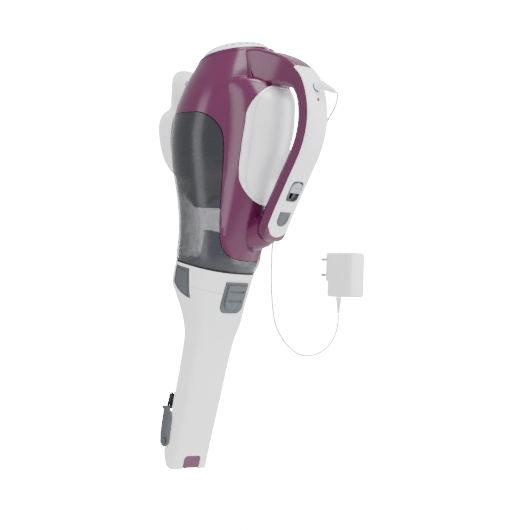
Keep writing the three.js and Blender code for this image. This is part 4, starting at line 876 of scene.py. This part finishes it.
nozzle_shape = loft(SEAM, -381, 0, 3)
nozzle_shape.name = "tool_nozzle"
nozzle = cut(copy(nozzle_shape), loft(SEAM + 2, -392, 2.2, 3))
nozzle = cut(common(nozzle, below_plane(PARTING - 0.15, parting_centre, -0.24)), mouth_cut())
nozzle = cut(nozzle, pulled(pad_outline(0.3), front_view, 15, 60),
             pulled(latch_outline(0.3), front_view, 58, 110))
for turn, side in ((False, 1), (True, -1)):
    pocket = cut(pulled(clip_outline(0.3), side_view, 26, 60), loft(SEAM + 2, -384, 1.2, 3))
    nozzle = cut(nozzle, mirrored(pocket) if turn else pocket)
    nozzle = cut(nozzle, turned([(2.3, 0), (2.3, 14)], (side * 22, 11, -345), (side, 0, 0), 32))
hand_in(nozzle, "white_nozzle", "nozzle", WHITE, ["nozzle_shell"])

# %% The clips and the latch
for turn, side in ((False, "near"), (True, "far")):
    clip = cut(common(pulled(clip_outline(0), side_view, 26, 60), loft(SEAM, -300, -0.5, 2)),
               loft(SEAM + 2, -302, 0.9, 2))
    rim = common(cut(loft(SEAM, -300, -1.5, 2), loft(SEAM + 2, -302, -0.1, 2)),
                 pulled(clip_outline(-2.2), side_view, 20, 66))
    clip = cut(clip, cut(rim, pulled(clip_outline(-3.0), side_view, 18, 68)))
    clip = mirrored(clip) if turn else clip
    hand_in(clip, f"{side}_grey_clip", "nozzle", GREY, [f"{side}_clip_pad"])

latch = cut(common(loft(SEAM, -300, -2.4, 2), pulled(latch_outline(0), front_view, 58, 110)),
            loft(SEAM + 2, -302, 2.4, 2))
step_band = cut(loft(SEAM, -300, -3.4, 2), loft(SEAM + 2, -302, -1.3, 2))
latch = cut(latch, cut(copy(step_band), pulled(latch_outline(-3.4), front_view, 50, 120)))
for z in (-180, -190):
    ridge = common(cut(loft(SEAM, -300, -2.6, 2), loft(SEAM + 2, -302, -1.5, 2)),
                   pulled(rounded_box(11.5, z - 1.1, z + 1.1, 1.0, 4), front_view, 50, 110))
    latch = cut(latch, ridge)
bpy.data.objects.remove(step_band)
hand_in(latch, "wide_latch", "nozzle_latch", GREY, ["nozzle_latch_button"])

# %% The crevice tube
def crevice_ring(z, inset):
    centre = between(-345)[0] + 0.2285 * (z + 345)
    half_width, half_depth = 0.93 * 28 - 3.4 - inset, 0.88 * 12.4 - 3.1 - inset
    return [(u, centre + v, z) for u, v in rounded_box(half_width, -half_depth, half_depth, 3, 6)]

crevice = cut(skin([crevice_ring(-390, 0), crevice_ring(TIP + 104, 0)]),
              skin([crevice_ring(-395, 1.8), crevice_ring(TIP + 109, 1.8)]))
tab = cut(common(loft(-335, -384, 0, 3), pulled(pad_outline(0), front_view, 15, 60)),
          loft(-333, -386, 4.4, 3))
crevice = cut(join(crevice, tab), mouth_cut(0.8))
hand_in(crevice, "crevice_slide", "crevice", PURPLE, ["crevice_tube"])

# %% [markdown]
# ## The flip brush
# Two arms turn on pins beside the mouth and carry a bar with a row of tufts. The tufts are made one by one:
# each is a small bundle of stiff fibres that spread a little towards the tip.

# %% The brush arms and the bar
side_x = 0.945 * 28 + 0.6
py, pz = 11, -345
arm_line = [(py + 6.2 * math.cos(a), pz + 6.2 * math.sin(a)) for a in np.linspace(math.pi, 2 * math.pi, 24)]
arm_line += [(py + 9.5, -322)]
for t in np.linspace(0, 1, 8)[1:]:
    a, b, c = np.array((py + 9.5, -322)), np.array((py + 10, -312)), np.array((py + 5.5, -307))
    arm_line.append(tuple(a * (1 - t)**2 + 2 * b * t * (1 - t) + c * t**2))
arm_line += [(py - 1.5, -307), (py - 6.2, -336)]
brush = pulled(arm_line, side_view, side_x + 0.3, side_x + 2.9, 0.5)
for arm in (pulled(arm_line, side_view, -side_x - 2.9, -side_x - 0.3, 0.5),
            pulled([(7.4, -309.4), (13.9, -309.4), (13.5, -306), (7.8, -306)], side_view, -side_x - 2.8,
                   side_x + 2.8)):
    brush = join(brush, arm)
brush = cut(brush, loft(-290, -384, -0.6, 3))
for side in (1, -1):
    dish = turned([(2.6, 0), (3.4, 1.2)], (side * (side_x + 2.2), 13, -318), (side, 0, 0), 24)
    brush = cut(brush, turned([(2.3, 0), (2.3, 20)], (side * 22, py, pz), (side, 0, 0), 32), dish)
hand_in(brush, "brush_arms", "brush", GREY, ["brush_frame"])

# %% The tufts
random_way = np.random.default_rng(7)
fibres = bmesh.new()
def add_fibre(low, high, radius):
    way = (high - low).normalized()
    across = way.orthogonal().normalized()
    other = way.cross(across)
    rings = []
    for point, size in ((low, radius), ((low + high) / 2, radius), (high, radius * 0.5)):
        rings.append([fibres.verts.new(point + (across * math.cos(a) + other * math.sin(a)) * size)
                      for a in (0, 2.1, 4.2)])
    for first, second in zip(rings, rings[1:]):
        for k in range(3):
            fibres.faces.new((first[k], first[(k + 1) % 3], second[(k + 1) % 3], second[k]))
    fibres.faces.new(rings[0][::-1])
    fibres.faces.new(rings[-1])

for tuft in range(13):
    x = -side_x + 3 + tuft * (2 * side_x - 6) / 12
    for _ in range(34):
        dx, dy = random_way.normal(0, 0.5), random_way.normal(0, 0.8)
        spread = 1.0 + random_way.uniform(0, 0.9)
        low = to_frame((x + dx, 10.8 + np.clip(dy, -2, 2), -306.6))
        high = to_frame((x + dx * spread * 1.6, 15.9 + np.clip(dy, -1.6, 1.6) * spread,
                         -290.4 - random_way.uniform(0, 1.6)))
        add_fibre(low, high, 0.00022)
mesh = bpy.data.meshes.new("tufts")
fibres.to_mesh(mesh)
fibres.free()
tufts = bpy.data.objects.new("tufts", mesh)
bpy.context.collection.objects.link(tufts)
tufts.data.materials.append(FIBRE)
tufts.name = "brush_tufts"
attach(tufts, "brush")
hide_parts("brush_bristles")
print("tufts", len(mesh.polygons), "faces")

# %% The brush pins
for side, label in ((1, "near"), (-1, "far")):
    inner = side_x - 2.4
    reach = 2.6 + 2.2
    pin = turned([(2.2, 0), (2.2, reach + 1.6), (3.6, reach + 1.6), (3.6, reach + 2.2), (3.0, reach + 2.8),
                  (0, reach + 2.8)],
                 (side * inner, py, pz), (side, 0, 0), 32)
    pin = cut(pin, turned([(1.5, 0), (1.5, 2)], (side * (inner + reach + 2.2), py, pz), (side, 0, 0), 24))
    hand_in(pin, f"{label}_pin", "nozzle", GREY, [f"{label}_brush_pin"])

# %% [markdown]
# ## The wall bracket
# A plate with a long neck lies flat on the wall. Its lower part curls forward as a shallow cradle that the
# body's back rests in, and a slanted tongue holds the weight.

# %% The bracket
def bracket_outline():
    line = [np.array((0.0, 68))]
    for a, b, c, d in (((0, 68), (14, 68), (22, 63), (22, 50)), ((23, 26), (25, 18), (41, 20), (41, 0)),
                       ((41, 0), (41, -24), (27, -53), (0, -53))):
        if np.linalg.norm(line[-1] - np.array(a)) > 0.01:
            line.append(np.array(a, float))
        line += bezier(a, b, c, d, 14)
    return [*line, *[np.array((-p[0], p[1])) for p in reversed(line[1:-1])]]

bracket = pulled(bracket_outline(), front_view, 0, 4, 1.0)
cradle = cut(pulled(bracket_outline(), front_view, 0, 27, 5), above_plane(19, 0, 0), loft(60, -70, -1.6))
bracket = join(bracket, cradle, cut(hook_prism(0, 0, 30), box(-30, 30, -20, 0.5, -20, 60)))
for z in (52, -34):
    bracket = cut(bracket, turned([(2.3, 0), (2.3, 20)], (0, -5, z), (0, 1, 0), 32),
                  turned([(4.3, 0), (4.3, 30)], (0, 1.9, z), (0, 1, 0), 32))
hand_in(bracket, "wall_holder", "bracket", WHITE, ["wall_bracket"])

# %% Screws with crossed slots
def cross_screw(at, way, profile, name, body, node, depth):
    screw = turned(profile, at, way, 32)
    top = Vector(at) + Vector(way).normalized() * depth
    across = Vector(way).normalized().orthogonal().normalized()
    other = Vector(way).normalized().cross(across)
    for first, second in ((across, other), (other, across)):
        place = lambda u, v, w: top + first * u + second * v + Vector(way).normalized() * w
        screw = cut(screw, pulled([(-1.7, -0.4), (1.7, -0.4), (1.7, 0.4), (-1.7, 0.4)], place, -1.1, 2))
    hand_in(screw, name, body, STEEL, [node])

for z, label in ((52, "upper"), (-34, "lower")):
    cross_screw((0, 0, z), (0, 1, 0), [(2, 0.2), (2, 2.2), (4, 2.2), (4, 3.2), (2.4, 4.2), (0, 4.2)],
                f"{label}_wall_screw", "bracket", f"bracket_screw_{label}", 4.2)
for number, (place, reach) in enumerate(screw_places(), 1):
    cross_screw((-reach + 15.3, place[1], place[2]), (-1, 0, 0),
                [(0.02, 0), (1.3, 1), (1.3, 13.4), (2.6, 13.4), (2.6, 15), (0, 15)],
                f"shell_fixing_{number}", "hand_unit", f"shell_screw_{number}", 15)

# %% [markdown]
# ## The charger
# The plug has an elbow and a thinning arm. The adaptor is a small block with rounded edges, a raised pin
# block at its back and a ribbed strain relief below, which lets the lead bend without breaking.

# %% The plug
rows = handle_frame(JACK_SHARE)
plug_foot = rows[3] - rows[2] * 9
plug = turned([(3.1, 0), (3.1, 9.8), (3.9, 9.8), (4.3, 10.2), (4.3, 19),
               *[(4.3 * math.cos(a), 19 + 2 * math.sin(a))
              for a in np.radians([15, 30, 45, 60, 75])], (0, 21)], plug_foot, rows[2], 40)
arm_profile = [(4.1, 0), (4.0, 7)]
for k in range(5):
    start = 8 + k * 2.2
    arm_profile += [(3.7 - 0.26 * k, start), (3.7 - 0.26 * k, start + 1.3), (3.1 - 0.26 * k, start + 1.35),
                    (3.1 - 0.26 * k, start + 2.15)]
arm_profile += [(2.2, 19.4), (1.6, ARM_LENGTH)]
plug = join(plug, turned(arm_profile, PLUG_ELBOW, ARM_WAY, 40))
hand_in(plug, "elbow_plug", "charger", WHITE, ["charge_plug"])

# %% The adaptor
adaptor = pulled(rounded_box(13, -178, -124, 4), lambda u, v, w: (-261.5 + u, w, v), 10, 48, 2)
back_block = pulled(rounded_box(10, -159, -124.2, 1.5, 4), lambda u, v, w: (-261.5 + u, w, v), 5.5, 13, 0.6)
adaptor = join(adaptor, back_block)
seam_line = pulled(rounded_box(14, -179, -123, 4), lambda u, v, w: (-261.5 + u, w, v), 38.2, 38.6)
seam_line = cut(seam_line, pulled(rounded_box(12.75, -177.75, -124.25, 3.9), lambda u, v,
                                  w: (-261.5 + u, w, v), 30, 44))
adaptor = cut(adaptor, seam_line)
for z in (-132, -151):
    adaptor = cut(adaptor, turned([(2.3, 0), (2.3, 8)], (-261.5, 4, z), (0, 1, 0), 24))
hand_in(adaptor, "wall_adaptor", "charger", WHITE, ["charger_adaptor"])

# %% The strain relief
relief = [(3.6, 0.3), (3.5, 4)]
for k in range(6):
    start = 4.4 + k * 2.5
    relief += [(3.3 - 0.24 * k, start), (3.3 - 0.24 * k, start + 1.5), (2.5 - 0.2 * k, start + 1.55),
               (2.5 - 0.2 * k, start + 2.45)]
relief += [(1.7, 19.5), (1.5, 20)]
grommet = turned(relief, RELIEF_TOP, (0, 0, -1), 36)
hand_in(grommet, "ribbed_relief", "charger", WHITE, ["cord_strain_relief"])

# %% [markdown]
# ## What shows through the bowl
# The pleated filter hangs from its frame and ends in a dark cup. Folding the paper as one star-shaped ring
# gives every pleat its two faces. The cup is perforated, so that lint stays outside.

# %% The filter and its cup
FILTER_AT = (0, 47)
pleats = []
for z in (6 - 0.3 - 62, 6 - 0.3 - 61, 6 - 0.3):
    ring_points = []
    for k in range(160):
        fold = abs((k % 4) - 2) / 2
        radius = 22.6 + 3.3 * fold
        a = 2 * math.pi * k / 160
        ring_points.append((radius * math.cos(a), FILTER_AT[1] + radius * math.sin(a), z))
    pleats.append(ring_points)
paper = cut(skin(pleats), turned([(17, 0), (17, 70)], (0, 47, -53.3), (0, 0, 1), 48))
hand_in(paper, "pleated_paper", "hand_unit", PAPER, ["pleated_filter"], angle=12)
cup_top = 6 - 0.3 - 62 - 0.3
cup = turned([(19, -30), *arc_profile([(21.5, -29), (24.5, -22), (25.6, -8), (26, 0)]), (24, 0),
              (22.4, -21), (18, -28), (0, -28)],
             (0, 47, cup_top), (0, 0, 1), 72)
for row in range(3):
    holes = []
    for k in range(20):
        a = 2 * math.pi * (k + 0.5 * (row % 2)) / 20
        way = (math.cos(a), math.sin(a), 0)
        holes.append(turned([(1.1, 0), (1.1, 8)], (20 * way[0], 47 + 20 * way[1], cup_top - 5 - row * 5.5),
                            way, 8))
    cup = cut(cup, *holes)
hand_in(cup, "lint_cup", "hand_unit", DARK, ["pre_filter_cup"])

# %% [markdown]
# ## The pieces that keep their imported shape
# Motor, cells, board and a few small parts sit out of sight or are already right. They keep their packed
# solids and only take their finish.

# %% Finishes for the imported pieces
KEPT = {
    "filter_frame": WHITE, "inlet_flap": RUBBER, "micro_switch": DARK, "motor_can": STEEL,
    "motor_rotor": STEEL,
    "impeller": DARK, "motor_bulkhead": GREY, "fan_shroud": DARK, "battery_holder": DARK,
    "circuit_board": BOARD,
    "adaptor_pin_upper": STEEL, "adaptor_pin_lower": STEEL}
KEPT.update({f"battery_cell_{k}": WRAP for k in range(1, 9)})
for node, material in KEPT.items():
    piece = frame["nodes"][node]
    for place in piece.material_slots:
        place.link = "OBJECT"
        place.material = material
print("kept pieces", len(KEPT))

# %% [markdown]
# ## The studio
# A plain pale floor well below the object and a pale world make the background. Four soft lights stand round
# the object: a large key above the front, a tall strip at each side and one on top. Large lights make the
# long soft reflections that show a glossy shape.

# %% Floor and world
floor_mesh = bpy.data.meshes.new("floor")
rim_points = [(2.3 * math.cos(a), 2.3 * math.sin(a), -0.75) for a in np.linspace(0, 2 * math.pi, 96,
    endpoint=False)]
floor_mesh.from_pydata(rim_points, [], [tuple(range(96))])
floor = bpy.data.objects.new("floor", floor_mesh)
bpy.context.collection.objects.link(floor)
floor.data.materials.append(finish("pale_floor", (250, 250, 250), 0.9, vary=0.004, edge=0.0))

world = bpy.data.worlds.new("pale_studio")
world.use_nodes = True
nodes, links = world.node_tree.nodes, world.node_tree.links
around_light = nodes["Background"]
around_light.inputs["Color"].default_value = (1, 1, 1, 1)
around_light.inputs["Strength"].default_value = 0.95
backdrop = nodes.new("ShaderNodeBackground")
backdrop.inputs["Color"].default_value = (1, 1, 1, 1)
backdrop.inputs["Strength"].default_value = 40.0
path = nodes.new("ShaderNodeLightPath")
either = nodes.new("ShaderNodeMixShader")
links.new(path.outputs["Is Camera Ray"], either.inputs["Fac"])
links.new(around_light.outputs["Background"], either.inputs[1])
links.new(backdrop.outputs["Background"], either.inputs[2])
links.new(either.outputs["Shader"], nodes["World Output"].inputs["Surface"])
bpy.context.scene.world = world

def soft_light(name, place, aim, size, power):
    data = bpy.data.lights.new(name, "AREA")
    data.shape = "RECTANGLE"
    data.size, data.size_y = size
    data.energy = power
    lamp_object = bpy.data.objects.new(name, data)
    lamp_object.location = place
    lamp_object.rotation_euler = (Vector(aim) - Vector(place)).to_track_quat("-Z", "Y").to_euler()
    bpy.context.collection.objects.link(lamp_object)

middle = (0, -0.1, -0.12)
soft_light("front_key", (-0.5, -1.5, 1.3), middle, (1.6, 1.2), 46)
soft_light("left_strip", (-1.7, 0.2, -0.1), middle, (0.7, 1.6), 11)
soft_light("right_strip", (1.5, -1.1, 0.1), middle, (0.6, 1.5), 22)
soft_light("top", (0.1, -0.5, 1.6), middle, (0.8, 0.8), 24)

# %% Clearing away the tools
for leftover in [o for o in bpy.data.objects if o.name.startswith(("tool_", "solid", "twin"))]:
    bpy.data.objects.remove(leftover)
